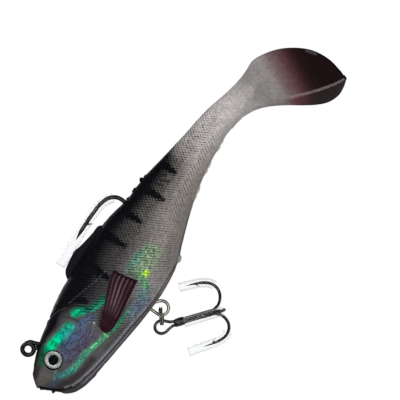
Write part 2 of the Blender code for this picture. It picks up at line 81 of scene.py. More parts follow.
# The paddle's fan: step, keel x z, left rim x y z, right rim x y z, half thickness, flatness.
PADDLE = (
    (0.0, 88.0, -10.7, 88.0, 0.0, -3.5, 88.0, 0.0, -12.0, 2.4, 0.0),
    (1.0, 91.0, -11.9, 92.0, 0.0, -4.5, 90.7, 0.2, -13.2, 2.2, 0.1),
    (2.0, 93.9, -13.7, 95.5, -0.6, -5.1, 93.4, 0.8, -14.9, 1.9, 0.3),
    (3.0, 96.6, -16.2, 98.8, -1.6, -5.3, 96.1, 2.4, -17.3, 1.6, 0.55),
    (4.0, 99.0, -18.6, 102.0, -2.6, -5.2, 98.6, 5.2, -20.3, 1.3, 0.8),
    (5.0, 101.8, -21.1, 105.5, -3.3, -6.8, 101.0, 8.8, -23.6, 1.1, 1.0),
    (6.0, 104.8, -23.7, 109.0, -3.4, -9.4, 103.6, 11.8, -26.9, 1.0, 1.0),
    (7.0, 107.8, -26.0, 112.0, -3.1, -13.0, 106.2, 12.8, -29.3, 0.95, 1.0),
    (8.0, 110.3, -27.7, 114.2, -2.6, -17.4, 109.1, 11.1, -30.5, 0.9, 1.0),
    (9.0, 112.1, -28.7, 114.9, -1.7, -22.4, 111.4, 6.6, -30.3, 0.8, 1.0),
    (10.0, 113.4, -29.2, 114.2, -0.6, -27.0, 113.2, 1.6, -29.7, 0.5, 1.0),
)
KEEL_ANGLE = math.radians(135)
SKIN_STEP = 0.2
SKIN_AROUND = 200
SEAM_X = 76.0

EYE_CENTRE = (2.1, -7.65)
EYE_TURN = 14.0
EYE_RADIUS = 2.75
EYE_POCKET = (2.35, 2.65, 1.0)
# The printed disc turned round the eye's axis, front first: radius, height.
IRIS_PROFILE = (
    (0.02, -0.62), (0.6, -0.62), (1.2, -0.63), (1.42, -0.64), (1.55, -0.5), (1.9, -0.42), (2.2, -0.4),
    (2.4, -0.42), (2.5, -0.5), (2.5, -0.9), (1.2, -0.98), (0.02, -0.98),
)
PUPIL_EDGE = (1.45, 1.62)
RIM_EDGE = (2.4, 2.55)

HOOK_WIRE = 0.6
TIE_RING_RADIUS = 1.6
TIE_RING_WIRE = 0.65
TIE_RING_TURN = (-40, 325)
JIG_HOOK = (
    (1.2, -1.2), (2.4, -2.7), (5.0, -5.6), (9.5, -7.6), (20.0, -8.2), (32.0, -7.8), (40.0, -6.4),
    (45.0, -4.0), (48.2, -1.0), (49.4, 2.0), (49.1, 4.1), (47.8, 5.7), (45.4, 6.7), (42.0, 6.95),
    (37.0, 6.9), (32.7, 6.6),
)
JIG_WRAP = ((0.9, 1.5), (1.95, 0.75), (2.35, -0.3), (2.75, -1.3), (3.4, -2.6))
JIG_WRAP_WIRE = 0.62
JIG_BARB = ((38.2, 6.55), (39.3, 5.15))
JIG_BARB_WIDTH = 0.34
HOOK_COVER = (
    (24.6, 6.05), (30.0, 6.35), (36.0, 6.7), (41.0, 6.85), (44.6, 6.65), (47.0, 5.9), (48.3, 4.9),
)
HOOK_COVER_RADIUS = 1.45
HOOK_COVER_WALL = 0.3

HANGER_WIRE = 0.45
HANGER_CENTRE = (30.95, -24.0)
HANGER_RADIUS = 2.0
HANGER_FRONT_LEG = (-14.8, -18.0, -21.0, -23.0)
HANGER_REAR_LEG = ((32.2, -22.4), (31.1, -21.5), (30.35, -20.4), (30.2, -18.0), (30.2, -14.8))

RING_CENTRE = (29.0, -25.25)
RING_LEAN = math.radians(36.87)
RING_RADIUS = 2.4
RING_WIRE = (0.25, 0.24)
RING_PITCH = 0.56

TREBLE_EYE = (26.5, -27.06)
TREBLE_LEAN = math.radians(38.66)
TREBLE_WIRE = 0.44
TREBLE_EYE_RADIUS = 1.8
TREBLE_WIRE_OFFSET = 0.58
TREBLE_ARM = (
    (15.3, 0.58), (16.9, 1.6), (18.0, 3.4), (18.35, 5.3), (17.9, 7.3), (16.6, 8.9), (14.6, 9.8),
    (12.2, 10.2), (9.6, 10.35),
)
TREBLE_EYE_HALF = (
    (3.9, 0.52), (2.9, 0.66), (1.9, 1.1), (0.9, 1.62), (0.0, 1.8), (-0.9, 1.56), (-1.56, 0.9),
)
TREBLE_BARB = ((12.4, 10.1), (13.5, 8.9))
TREBLE_BARB_WIDTH = 0.24
ARM_TURNS = (0.0, 120.0, 240.0)
# The brazed band round the three wires below the eye: distance along the shank, and radius.
COLLAR_ALONG = (3.7, 3.8, 4.1, 5.2, 6.4, 6.7, 6.8)
COLLAR_RADII = (0.85, 1.05, 1.18, 1.22, 1.18, 1.05, 0.85)
COVER_RADIUS = 1.3
COVER_WALL = 0.25
COVER_PAST_TIP = (2.6, 1.6, 4.2)
COVERED_ROWS = 29

PECTORAL_ROOT = (17.6, 8.85)
PECTORAL_FLARE = 12.0
# The pectoral fin in its own plane, root to rear edge: share, upper x z, lower x z.
PECTORAL = (
    (0.0, -0.7, -12.9, -0.6, -15.6),
    (0.06, 0.4, -12.6, 0.5, -15.95),
    (0.3, 4.3, -11.1, 4.6, -15.8),
    (0.6, 9.4, -8.9, 10.1, -15.1),
    (0.85, 13.3, -7.3, 14.4, -14.5),
    (1.0, 15.0, -7.1, 16.6, -14.2),
)
PECTORAL_RIBS = 6

DORSAL_FIN = (
    (22.2, 1.9), (22.8, 2.9), (24.0, 4.0), (26.0, 4.6), (28.6, 5.0), (30.2, 5.15), (31.4, 4.8), (34.0, 4.3),
    (37.0, 3.9), (39.9, 3.5), (40.5, 2.8), (41.6, 2.4),
)

# The side view that the paint is laid out on: its centre, and how far away its eye is.
VIEW_X, VIEW_Z, VIEW_AWAY = 61.93, -15.5, 554.0

# Lines on the flank, x and z on the side view.
LIP_LINE = (
    (-6.9, -8.9), (-6.1, -10.7), (-5.2, -12.5), (-4.2, -14.1), (-2.6, -15.4), (0.0, -16.6), (3.0, -17.5),
)
JAW_LINE = (
    (-4.2, -14.3), (-3.2, -15.4), (-1.5, -16.7), (1.0, -17.6), (6.0, -18.6), (11.0, -19.3), (16.0, -19.85),
    (22.0, -20.3), (28.0, -21.05), (33.0, -21.2), (43.0, -20.4),
)
LOWER_LIP = ((-4.1, -15.0), (-3.2, -16.3), (-1.6, -17.7), (1.0, -18.7), (5.0, -19.4))
GILL_EDGE = ((9.0, 0.3), (11.5, 0.0), (14.0, -0.5), (16.0, -1.8), (17.5, -3.6), (18.6, -5.9), (19.0, -8.0))
GILL_INNER = ((13.0, -2.9), (13.9, -4.2), (14.4, -5.8), (14.3, -7.6))
SCRATCH = ((17.0, -1.9), (21.5, -3.1), (26.0, -4.4), (31.0, -5.3))
EYE_RIDGE = 3.15
CHIN = (-5.5, -12.5)
BELLY_NUB_X = 45.0
LATERAL_Z = -5.6
# The scale lines: their spacing, and how far round the body they run for each step along it.
HATCH = 0.85
HATCH_LEAN = 1.7
KEEL_LINE = (
    (98.0, -17.9), (101.8, -21.1), (104.8, -23.7), (107.8, -26.0), (110.3, -27.7), (112.4, -28.8),
    (113.4, -29.2),
)
KEEL_NUB = (113.6, -29.1)
# Grey levels of the upper and lower flank along the body, and of the paddle across its fan.
UPPER_TONE = (
    (-8, 72), (-3, 76), (2, 68), (10, 68), (18, 56), (26, 56), (34, 68), (42, 77), (50, 94), (58, 95),
    (66, 105), (74, 145), (82, 155), (90, 153), (97, 120), (116, 128),
)
LOWER_TONE = (
    (-8, 56), (-3, 54), (2, 66), (10, 72), (18, 74), (26, 96), (34, 116), (42, 116), (50, 120), (58, 120),
    (66, 129), (74, 148), (82, 160), (90, 155), (97, 124), (116, 128),
)
PADDLE_TONE = (
    (97, 107), (99, 111), (101, 114), (103, 116), (105, 110), (107, 92), (109, 77), (111, 60), (113, 40),
    (115, 25), (117, 20), (130, 28),
)
# The back's black: where it is full and where it has faded out, at each x.
BACK = (
    (-8, -6.6, -9.0), (-5, -5.2, -7.0), (-2, -3.9, -5.4), (2, -2.5, -3.9), (6, -2.1, -3.4),
    (10, -2.2, -4.4), (13, -1.2, -3.8), (16, -1.6, -6.5), (20, -2.6, -9.5), (26, -2.4, -10.5),
    (32, -0.6, -9.6), (38, 0.4, -9.8), (46, -0.3, -9.9), (52, -1.2, -9.4), (58, -1.4, -9.6),
    (64, -1.4, -9.2), (67, -0.6, -9.2), (70, 3.0, -3.8), (73, 6, 2), (80, 9, 7),
)
# Dark bars down the back: x at the back, tip x, tip z, half width at the back, at the tip.
BARS = (
    (18.3, 20.4, -6.4, 2.2, 0.7),
    (28.8, 29.2, -7.5, 2.4, 0.55),
    (38.7, 39.2, -6.2, 1.75, 0.4),
    (47.1, 47.4, -5.9, 1.75, 0.4),
    (55.7, 56.1, -7.7, 1.8, 0.45),
    (64.2, 64.2, -6.0, 1.75, 0.55),
)
DASHES = (((58.7, -3.0), (59.4, -4.7)), ((60.1, -3.1), (61.1, -5.4)), ((61.0, -1.6), (62.1, -3.8)))
# Iridescent strokes under the clear skin: colour, half width, softness, line.
FOIL_STROKES = (
    ("3b4252", 2.6, 3.4, ((5.6, -8.6), (9.0, -9.2), (12.5, -8.8))),
    ("3e4962", 1.3, 2.0, ((7.4, -8.2), (10.5, -8.8))),
    ("3d4b5b", 1.1, 1.8, ((13.8, -8.0), (17.4, -9.3))),
    ("434050", 1.6, 2.6, ((4.5, -11.4), (9.0, -11.4), (13.0, -11.8))),
    ("135233", 0.9, 1.2, ((-1.2, -5.2), (0.4, -4.2), (2.8, -3.7))),
    ("1f8f6c", 1.4, 1.7, ((3.6, -4.7), (6.5, -5.0), (9.6, -5.5), (11.6, -5.8))),
    ("14be86", 1.0, 1.1, ((4.6, -4.6), (6.4, -4.9), (7.8, -5.2))),
    ("3a8c88", 0.9, 1.8, ((8.8, -6.0), (11.6, -6.2))),
    ("1c8a68", 1.3, 1.2, ((15.8, -4.9), (16.9, -5.4), (17.6, -6.2))),
    ("27c08c", 0.4, 0.6, ((15.4, -4.6), (16.9, -5.1))),
    ("1c5c47", 0.8, 1.3, ((18.4, -7.0), (21.0, -8.2), (24.5, -9.4))),
    ("2a8a68", 0.35, 0.5, ((18.8, -8.4), (21.4, -9.4), (24.4, -10.3))),
    ("4d7470", 0.35, 0.6, ((-2.6, -10.8), (-0.6, -9.9))),
    ("3a7068", 0.9, 1.0, ((-0.8, -11.9), (1.0, -12.9), (2.6, -13.5))),
    ("46866e", 0.85, 1.0, ((2.6, -13.5), (5.2, -13.7), (8.4, -13.9))),
    ("4d8a6c", 0.7, 0.9, ((9.0, -14.2), (11.4, -14.7), (14.0, -15.3), (16.4, -15.7))),
    ("74dc9c", 0.25, 0.45, ((10.6, -14.3), (12.4, -14.7))),
    ("7fd88c", 0.14, 0.3, ((15.7, -15.0), (15.8, -16.4))),
    ("348c64", 0.4, 0.5, ((17.6, -16.5), (21.5, -16.8), (25.8, -17.0))),
    ("5c6872", 1.5, 2.6, ((24.5, -18.2), (29.5, -18.6))),
    ("5d6676", 0.9, 1.6, ((26.5, -18.0), (30.5, -19.2))),
    ("5a7a78", 1.4, 2.4, ((30.8, -17.6), (33.0, -17.0))),
    ("4e695d", 1.3, 3.0, ((35.2, -10.9), (38.4, -10.7), (41.4, -11.0))),
    ("74886e", 2.2, 3.8, ((36.6, -13.4), (39.0, -13.3), (42.2, -12.8))),
    ("4a7466", 0.7, 2.0, ((36.2, -10.4), (39.2, -10.2))),
    ("46594c", 0.5, 1.5, ((33.8, -9.8), (34.3, -13.4))),
    ("568660", 1.0, 1.9, ((34.6, -14.6), (35.3, -13.8), (33.6, -16.4))),
    ("b4e050", 0.7, 0.9, ((36.0, -14.7), (36.6, -14.9))),
)

# Soft marks under the foil, among them painted shade and painted highlights: colour, half width, softness,
# strength, line.
UNDER_MARKS_SHADE_AND_HIGHLIGHTS = (
    ("4d4842", 1.5, 2.6, 0.9, ((-5.6, -8.2), (-3.6, -8.8))),
    ("2b2226", 0.6, 1.4, 0.8, ((-4.8, -6.2), (-2.4, -5.4))),
    ("34404a", 1.1, 1.8, 0.7, ((-4.6, -11.0), (-3.0, -11.6))),
    # Painted shadow under the upper lip, along the mouth.
    ("2a2426", 0.9, 1.6, 0.8, ((-3.6, -13.2), (-1.0, -14.8), (3.0, -16.0), (8.0, -16.4))),
    # Painted shade along the pectoral fin's upper edge, where it meets the body.
    ("2c262c", 0.6, 1.2, 0.8, ((17.0, -12.6), (20.5, -10.9))),
    ("242228", 0.15, 0.8, 0.5, ((12.0, -17.7), (16.0, -18.15), (20.0, -18.65), (28.0, -19.3))),
    # Painted highlights along the rolled edges of the lower lip, above and below the jaw's groove.
    ("817b86", 0.26, 0.7, 0.9, shifted(JAW_LINE[1:9], 0.3, 0.7)),
    ("77717c", 0.1, 0.3, 0.8, shifted(JAW_LINE[3:8], -0.1, -0.42)),
)
# Lines, a scratch and painted highlights over the black, in the same columns.
OVER_MARKS_AND_HIGHLIGHTS = (
    ("100e12", 0.2, 0.5, 0.75, GILL_EDGE),
    ("17141a", 0.2, 0.5, 0.6, GILL_INNER),
    # A painted highlight on the ridge beside the gill edge.
    ("8a858a", 0.06, 0.25, 0.22, shifted(GILL_EDGE[:4], -0.45, -0.25)),
    ("8a858a", 0.06, 0.3, 0.22, SCRATCH),
    # A painted highlight line and spot on the cheek, just in front of the pectoral fin.
    ("8a8890", 0.06, 0.3, 0.5, ((12.2, -12.4), (14.4, -12.0), (16.2, -11.2))),
    ("b8b4b8", 0.2, 0.25, 0.8, ((16.5, -11.1), (16.7, -11.0))),
    # A painted highlight at the paddle's edge.
    ("4c4a4e", 0.3, 0.7, 0.6, ((113.4, -16.0), (114.1, -18.6))),
)
# Ridges, and grooves where the height is negative: height, half width, softness, line.
RIDGES = (
    (0.3, 0.25, 0.7, LOWER_LIP),
    (-0.25, 0.12, 0.35, GILL_EDGE),
    (0.15, 0.1, 0.7, shifted(GILL_EDGE, -0.5, -0.2)),
    (-0.12, 0.1, 0.35, GILL_INNER),
)
# Moulded bumps along the back: x, length, height.
BACK_BUMPS = ((50.6, 0.8, 0.25), (53.6, 1.2, 0.4), (57.2, 0.9, 0.75), (58.6, 0.7, 0.3))

# How much the soft skins reflect.
SKIN_GLOSS = 0.006

FLOOR_Z = -150.0
FLOOR_RADIUS = 350.0
FLOOR_X = 60.0
# The sky looks white to the camera, and lights everything else only this much.
SKY_LIGHT = 0.22
CAMERA_AIM = (VIEW_X, VIEW_Z)
CAMERA_AWAY = 561.0
CAMERA_LENS = 180.0
CAMERA_ROLL = math.radians(55)
# The lights: name, place and size in metres, power in watts.
LIGHTS = (
    ("key", (0.08, -0.36, 0.42), 0.22, 1.5),
    ("front", (0.02, -0.62, 0.02), 0.4, 2.2),
    ("back", (0.05, 0.55, 0.3), 0.35, 2.8),
    ("under", (0.1, -0.2, -0.14), 0.2, 0.12),
)
LIGHTS_AIM = (0.055, 0, -0.012)


def srgb(*values):
    """A linear colour from 0 to 255 display values."""
    v = np.array(values, float) / 255
    return np.where(v <= 0.04045, v / 12.92, ((v + 0.055) / 1.055) ** 2.4)


def hex_colour(code):
    return srgb(*(int(code[i : i + 2], 16) for i in (0, 2, 4)))


def toward(colour, code, share):
    """The colour moved towards another by this share."""
    return colour + (hex_colour(code) - colour) * share


def ease(low, high, v):
    """From 0 at low to 1 at high, smoothly."""
    t = np.clip((v - low) / (high - low), 0, 1)
    return t * t * (3 - 2 * t)


def fade(low, high, v):
    """From 1 at low to 0 at high, smoothly."""
    return 1 - ease(low, high, v)


def curve_at(table, t):
    """Rows of a table at each t, on a smooth curve through its rows. The first column is t."""
    rows = np.array(table, float)
    at = rows[:, 0]
    t = np.atleast_1d(np.asarray(t, float))
    slopes = np.gradient(rows[:, 1:], at, axis=0)
    i = np.clip(np.searchsorted(at, t) - 1, 0, len(at) - 2)
    step = (at[i + 1] - at[i])[:, None]
    f = (t[:, None] - at[i][:, None]) / step
    value = rows[:, 1:]
    return (
        (1 + 2 * f) * (1 - f) ** 2 * value[i]
        + f * (1 - f) ** 2 * step * slopes[i]
        + f * f * (3 - 2 * f) * value[i + 1]
        + f * f * (f - 1) * step * slopes[i + 1]
    )


def smooth_path(points, steps):
    """Points along a smooth curve through the given ones, this many steps between each pair."""
    rows = np.array(points, float)
    lengths = np.linalg.norm(np.diff(rows, axis=0), axis=1)
    table = np.column_stack((np.concatenate(([0.0], np.cumsum(lengths))), rows))
    at = [a + (b - a) * i / steps for a, b in zip(table[:-1, 0], table[1:, 0]) for i in range(steps)]
    return curve_at(table, at + [table[-1, 0]])


def in_plane(points):
    return [(x, 0.0, z) for x, z in points]


def line_distance(x, z, points):
    """Distance in the XZ plane from each point to a line through the given points."""
    best = np.full(np.shape(x), 1e9)
    for (ax, az), (bx, bz) in zip(points[:-1], points[1:]):
        dx, dz = bx - ax, bz - az
        share = np.clip(((x - ax) * dx + (z - az) * dz) / (dx * dx + dz * dz), 0, 1)
        best = np.minimum(best, np.hypot(x - ax - share * dx, z - az - share * dz))
    return best


def stroke(x, z, points, width, soft):
    """A mask, 1 within width of the line and fading over soft."""
    return fade(width - soft / 2, width + soft / 2, line_distance(x, z, points))


def ripple(x, z, size, seed):
    """A soft, repeatable unevenness from -1 to 1, with features of this size."""
    total = 0
    for k in range(5):
        turn = 2.4 * k + seed
        along = x * math.cos(turn) + z * math.sin(turn)
        total = total + np.sin(along * (5.1 + 1.3 * k) / size + 3.7 * turn)
    return total / 3.2


# Meshes


def add_object(name, data):
    obj = bpy.data.objects.new(name, data)
    bpy.context.scene.collection.objects.link(obj)
    return obj


def make_mesh(name, points, faces, colour=None, masks=None):
    mesh = bpy.data.meshes.new(name)
    mesh.from_pydata(np.asarray(points) * MM, [], faces)
    mesh.validate()
    mesh.shade_smooth()
    if colour is not None:
        paint = mesh.color_attributes.new("paint", "FLOAT_COLOR", "POINT")
        paint.data.foreach_set("color", np.column_stack((colour, np.ones(len(colour)))).ravel())
    for key, values in (masks or {}).items():
        mask = mesh.attributes.new(key, "FLOAT", "POINT")
        mask.data.foreach_set("value", np.asarray(values, float).ravel())
    return add_object(name, mesh)


def grid_faces(rows, columns):
    """Faces between the rows of a grid, each row being a closed loop."""
    faces = []
    for i in range(rows - 1):
        a, b = i * columns, (i + 1) * columns
        faces += [(a + j, a + (j + 1) % columns, b + (j + 1) % columns, b + j) for j in range(columns)]
    return faces


def closed_tube(grid):
    """Points and faces of a tube of loops, closed by a fan of faces at each end."""
    rows, columns = grid.shape[:2]
    points = np.concatenate((grid.reshape(-1, 3), [grid[0].mean(0)], [grid[-1].mean(0)]))
    faces = grid_faces(rows, columns)
    start, end = rows * columns, rows * columns + 1
    last = (rows - 1) * columns
    for j in range(columns):
        k = (j + 1) % columns
        faces.append((start, k, j))
        faces.append((end, last + j, last + k))
    return points, faces


def frames_along(path):
    """Two directions across the path at each point, turned as little as possible."""
    ahead = np.gradient(path, axis=0)
    ahead /= np.linalg.norm(ahead, axis=1, keepdims=True)
    first = np.cross(ahead[0], (0.0, 1.0, 0.0))
    if np.linalg.norm(first) < 0.1:
        first = np.cross(ahead[0], (1.0, 0.0, 0.0))
    across = [first / np.linalg.norm(first)]
    for direction in ahead[1:]:
        turned = across[-1] - direction * np.dot(across[-1], direction)
        across.append(turned / np.linalg.norm(turned))
    across = np.array(across)
    return across, np.cross(ahead, across)


def wire_grid(path, radius, sides, flatten=1.0):
    path = np.asarray(path, float)
    radius = np.broadcast_to(radius, len(path))[:, None, None]
    across, beside = frames_along(path)
    angle = np.linspace(0, 2 * math.pi, sides, endpoint=False)
    level, upright = np.cos(angle)[None, :, None], flatten * np.sin(angle)[None, :, None]
    return path[:, None] + radius * (level * across[:, None] + upright * beside[:, None])


def outward(points, faces):
    """The faces, turned over if the closed shape that they make is inside out."""
    pts = np.asarray(points)
    corners = np.array([(f[0], f[1], f[2], f[0], f[2], f[-1]) for f in faces]).reshape(-1, 3)
    a, b, c = pts[corners[:, 0]], pts[corners[:, 1]], pts[corners[:, 2]]
    volume = np.einsum("ij,ij->", a, np.cross(b, c))
    return faces if volume > 0 else [tuple(reversed(face)) for face in faces]


def make_piece(name, shape, skin, colour=None, masks=None):
    """A closed mesh of points and faces, turned outward, in one material."""
    points, faces = shape
    obj = make_mesh(name, points, outward(points, faces), colour, masks)
    obj.data.materials.append(skin)
    return obj


def join_shapes(shapes):
    points, faces = [], []
    for some_points, some_faces in shapes:
        offset = sum(len(p) for p in points)
        points.append(np.asarray(some_points))
        faces += [tuple(offset + i for i in face) for face in outward(some_points, some_faces)]
    return np.concatenate(points), faces


def tip_radii(count, radius, share, end=0.04):
    """Radii along a wire that narrows to a needle point over the last share of it."""
    at = np.linspace(0, 1, count)
    return radius * (1 - (1 - end) * np.clip((at - 1 + share) / share, 0, 1) ** 1.3)


def barb(base, tip, width):
    """A thin curved spur from the wire at base to tip."""
    base, tip = np.array(base, float), np.array(tip, float)
    path = np.array([base + (tip - base) * t for t in np.linspace(0, 1, 8)])
    return closed_tube(wire_grid(path, np.linspace(width, 0.03, 8), 12, 0.7))


def sleeve_shape(path, radius, wall, sides=40):
    """An open tube with real thickness and rounded rims."""
    outer = wire_grid(path, radius, sides)
    inner = wire_grid(path, radius - wall, sides)
    middle = (outer[[0, -1]] + inner[[0, -1]]) / 2
    ends = np.asarray(path)[[0, 0, -1, -1]] - np.asarray(path)[[1, 1, -2, -2]]
    push = ends / np.linalg.norm(ends, axis=1, keepdims=True) * wall / 2
    loops = [middle[:1] + push[0], outer, middle[1:] + push[2], inner[::-1]]
    grid = np.concatenate(loops)
    rows, columns = grid.shape[:2]
    faces = grid_faces(rows, columns)
    last = (rows - 1) * columns
    faces += [(last + j, last + (j + 1) % columns, (j + 1) % columns, j) for j in range(columns)]
    return grid.reshape(-1, 3), faces


# The soft skin


def body_grid(xs):
    """Loops round the body at each x. An angle of 0 is the top, and the left side comes first."""
    top, bottom, half = curve_at(BODY, xs).T[:, :, None]
    angle = np.linspace(0, 2 * math.pi, SKIN_AROUND, endpoint=False)[None]
    share = ((1 - np.cos(angle)) / 2) ** WIDEST_LIFT
    x = np.broadcast_to(np.asarray(xs)[:, None], (len(xs), SKIN_AROUND))
    return np.stack((x, -half * np.sin(angle), top + (bottom - top) * share), axis=2)


def sheet_normals(middle):
    normal = np.cross(np.gradient(middle, axis=1), np.gradient(middle, axis=0))
    return normal / np.linalg.norm(normal, axis=2, keepdims=True)


def paddle_grid(ts):
    """Loops round the fan. Its middle surface is folded along the keel, and the skin lies each side."""
    rows = curve_at(PADDLE, ts)
    half_count = SKIN_AROUND // 2
    angle = np.linspace(0, math.pi, half_count + 1)
    share = ((1 - np.cos(angle)) / 2) ** WIDEST_LIFT
    keel_share = ((1 - math.cos(KEEL_ANGLE)) / 2) ** WIDEST_LIFT
    keel = np.stack((rows[:, 0], 0 * rows[:, 0], rows[:, 1]), axis=1)[:, None]
    left, right = rows[:, None, 2:5], rows[:, None, 5:8]
    half, flat = rows[:, 8:9], rows[:, 9:10]
    on_left = np.clip(share / keel_share, 0, 1)[None, :, None]
    on_right = np.clip((share - keel_share) / (1 - keel_share), 0, 1)[None, :, None]
    middle = left + (keel - left) * on_left + (right - keel) * on_right
    cup = 0.9 * np.sin(math.pi * on_left[..., 0]) * flat
    round_edge = np.sin(angle).clip(0, 1)[None]
    thick = half * ((1 - flat) * round_edge + flat * round_edge**0.35)
    normal = sheet_normals(middle)
    middle = middle + normal * (0.35 * cup)[..., None]
    under = middle + normal * thick[..., None]
    over = middle - normal * thick[..., None]
    return np.concatenate((under, over[:, -2:0:-1]), axis=1)


def side_arc(grid):
    """How far each point is from the top, measured round its loop the shorter way."""
    steps = np.linalg.norm(np.roll(grid, -1, 1) - grid, axis=2)
    total = steps.sum(1, keepdims=True)
    arc = np.concatenate((np.zeros((len(grid), 1)), np.cumsum(steps, axis=1)[:, :-1]), axis=1)
    return np.minimum(arc, total - arc), total / 2


def side_view(x, y, z):
    """Where a point falls on the paint's side view, which spreads with the flank's width."""
    grow = np.abs(y) / VIEW_AWAY
    return x + (x - VIEW_X) * grow, z + (z - VIEW_Z) * grow


def depth_share(x, z):
    top, bottom, _ = curve_at(BODY, np.clip(x, -7.1, 88).ravel()).T.reshape(3, *np.shape(x))
    return np.clip((top - z) / (top - bottom), 0, 1)


def hatching(x, z, arc):
    """Phases of the two sets of leaning scale lines, and how strong each set is."""
    share = depth_share(x, z)
    rearward = ease(40, 52, x)
    above_belly = fade(0.9 - 0.1 * rearward, 0.97 - 0.08 * rearward, share)
    on = ease(15.5, 19, x) * fade(88, 97, x) * above_belly * (1 - 0.6 * ease(76, 88, x))
    low = ease(0.6, 0.7, share) * ease(48, 56, x)
    high = fade(0.38, 0.55, share) * ease(30, 38, x)
    lean, cross = (x - arc / HATCH_LEAN) / HATCH, (x + arc / HATCH_LEAN) / HATCH
    return lean, cross, on * (1 - 0.8 * low), on * np.maximum(0.9 * low, np.maximum(high, 0.35))


def cut_depth(lean, cross, on_lean, on_cross):
    """How deep the two sets of scale lines cut."""
    sets = ((lean, on_lean), (cross, on_cross))
    return sum(on * (0.5 + 0.5 * np.cos(2 * math.pi * phase)) ** 2 for phase, on in sets)


def front_mouth(x, y, z):
    """The mouth's slit where it runs across the snout, between the tops of the two lip lines."""
    from_slit = np.abs(z - LIP_LINE[0][1] + 0.1 * y * y)
    return fade(0.12, 0.42, from_slit) * fade(-6.6, -6.2, x) * (np.abs(y) < 2.3)


def relief(grid):
    """How far the skin stands out from its smooth form, in millimetres."""
    arc, half_arc = side_arc(grid)
    y = grid[..., 1]
    x, z = side_view(grid[..., 0], y, grid[..., 2])
    out = -0.13 * cut_depth(*hatching(grid[..., 0], grid[..., 2], arc))
    out -= 0.45 * stroke(x, z, LIP_LINE, 0.12, 0.4) * (x < 3)
    out -= 0.35 * front_mouth(x, y, z)
    jaw = line_distance(x, z, JAW_LINE)
    out -= (0.6 - 0.35 * ease(14, 24, x)) * fade(0.05, 0.3, jaw)
    out += 0.3 * stroke(x, z, shifted(JAW_LINE[1:], 0.4, 0.75), 0.2, 0.9) * fade(20, 30, x)
    for height, width, soft, line in RIDGES:
        out += height * stroke(x, z, line, width, soft)
    on_chin = fade(0.1, 0.5, np.hypot(x - CHIN[0], z - CHIN[1]))
    out += 0.75 * on_chin * fade(0.3, 0.6, np.abs(y))
    line_on = ease(34, 38, x) * fade(84, 90, x)
    out -= 0.08 * line_on * fade(0.06, 0.28, np.abs(z - LATERAL_Z))
    inner, outer, depth = EYE_POCKET
    from_eye = np.hypot(grid[..., 0] - EYE_CENTRE[0], grid[..., 2] - EYE_CENTRE[1])
    out += 0.2 * fade(0.1, 0.6, np.abs(from_eye - EYE_RIDGE))
    out = np.where(from_eye < outer, -depth * fade(inner, outer, from_eye), out)
    on_top = fade(0.3, 0.9, arc)
    for bump_x, length, height in BACK_BUMPS:
        out += on_top * height * fade(0.3 * length, length, np.abs(x - bump_x))
    at_keel = fade(0.12, 0.42, half_arc - arc)
    scallop = np.abs(np.sin(x * 1.25)) ** 0.5 * (0.5 + 0.5 * np.sin(x * 0.9 + 1))
    out += at_keel * (0.1 + 0.45 * scallop * ease(56, 62, x) * fade(80, 88, x)) * (x < 95)
    out += at_keel * 0.7 * fade(0.4, 1.4, np.abs(x - BELLY_NUB_X))
    out += 0.025 * ripple(x, z, 2.6, 1.0) * (x < 96)
    ridge = fade(0.08, 0.36, line_distance(x, z, KEEL_LINE))
    out += 0.38 * ridge * (0.7 + 0.4 * ripple(x, z, 0.7, 2.0)) * ease(98.5, 101, x)
    out += 0.5 * fade(0.3, 0.8, np.hypot(x - KEEL_NUB[0], z - KEEL_NUB[1]))
    return out


def on_skin(grid):
    """The grid with its relief added along the surface's own normals."""
    across = np.roll(grid, -1, 1) - np.roll(grid, 1, 1)
    along = np.gradient(grid, axis=0)
    normal = np.cross(across, along)
    normal /= np.linalg.norm(normal, axis=2, keepdims=True).clip(1e-9)
    return grid + normal * relief(grid)[..., None]


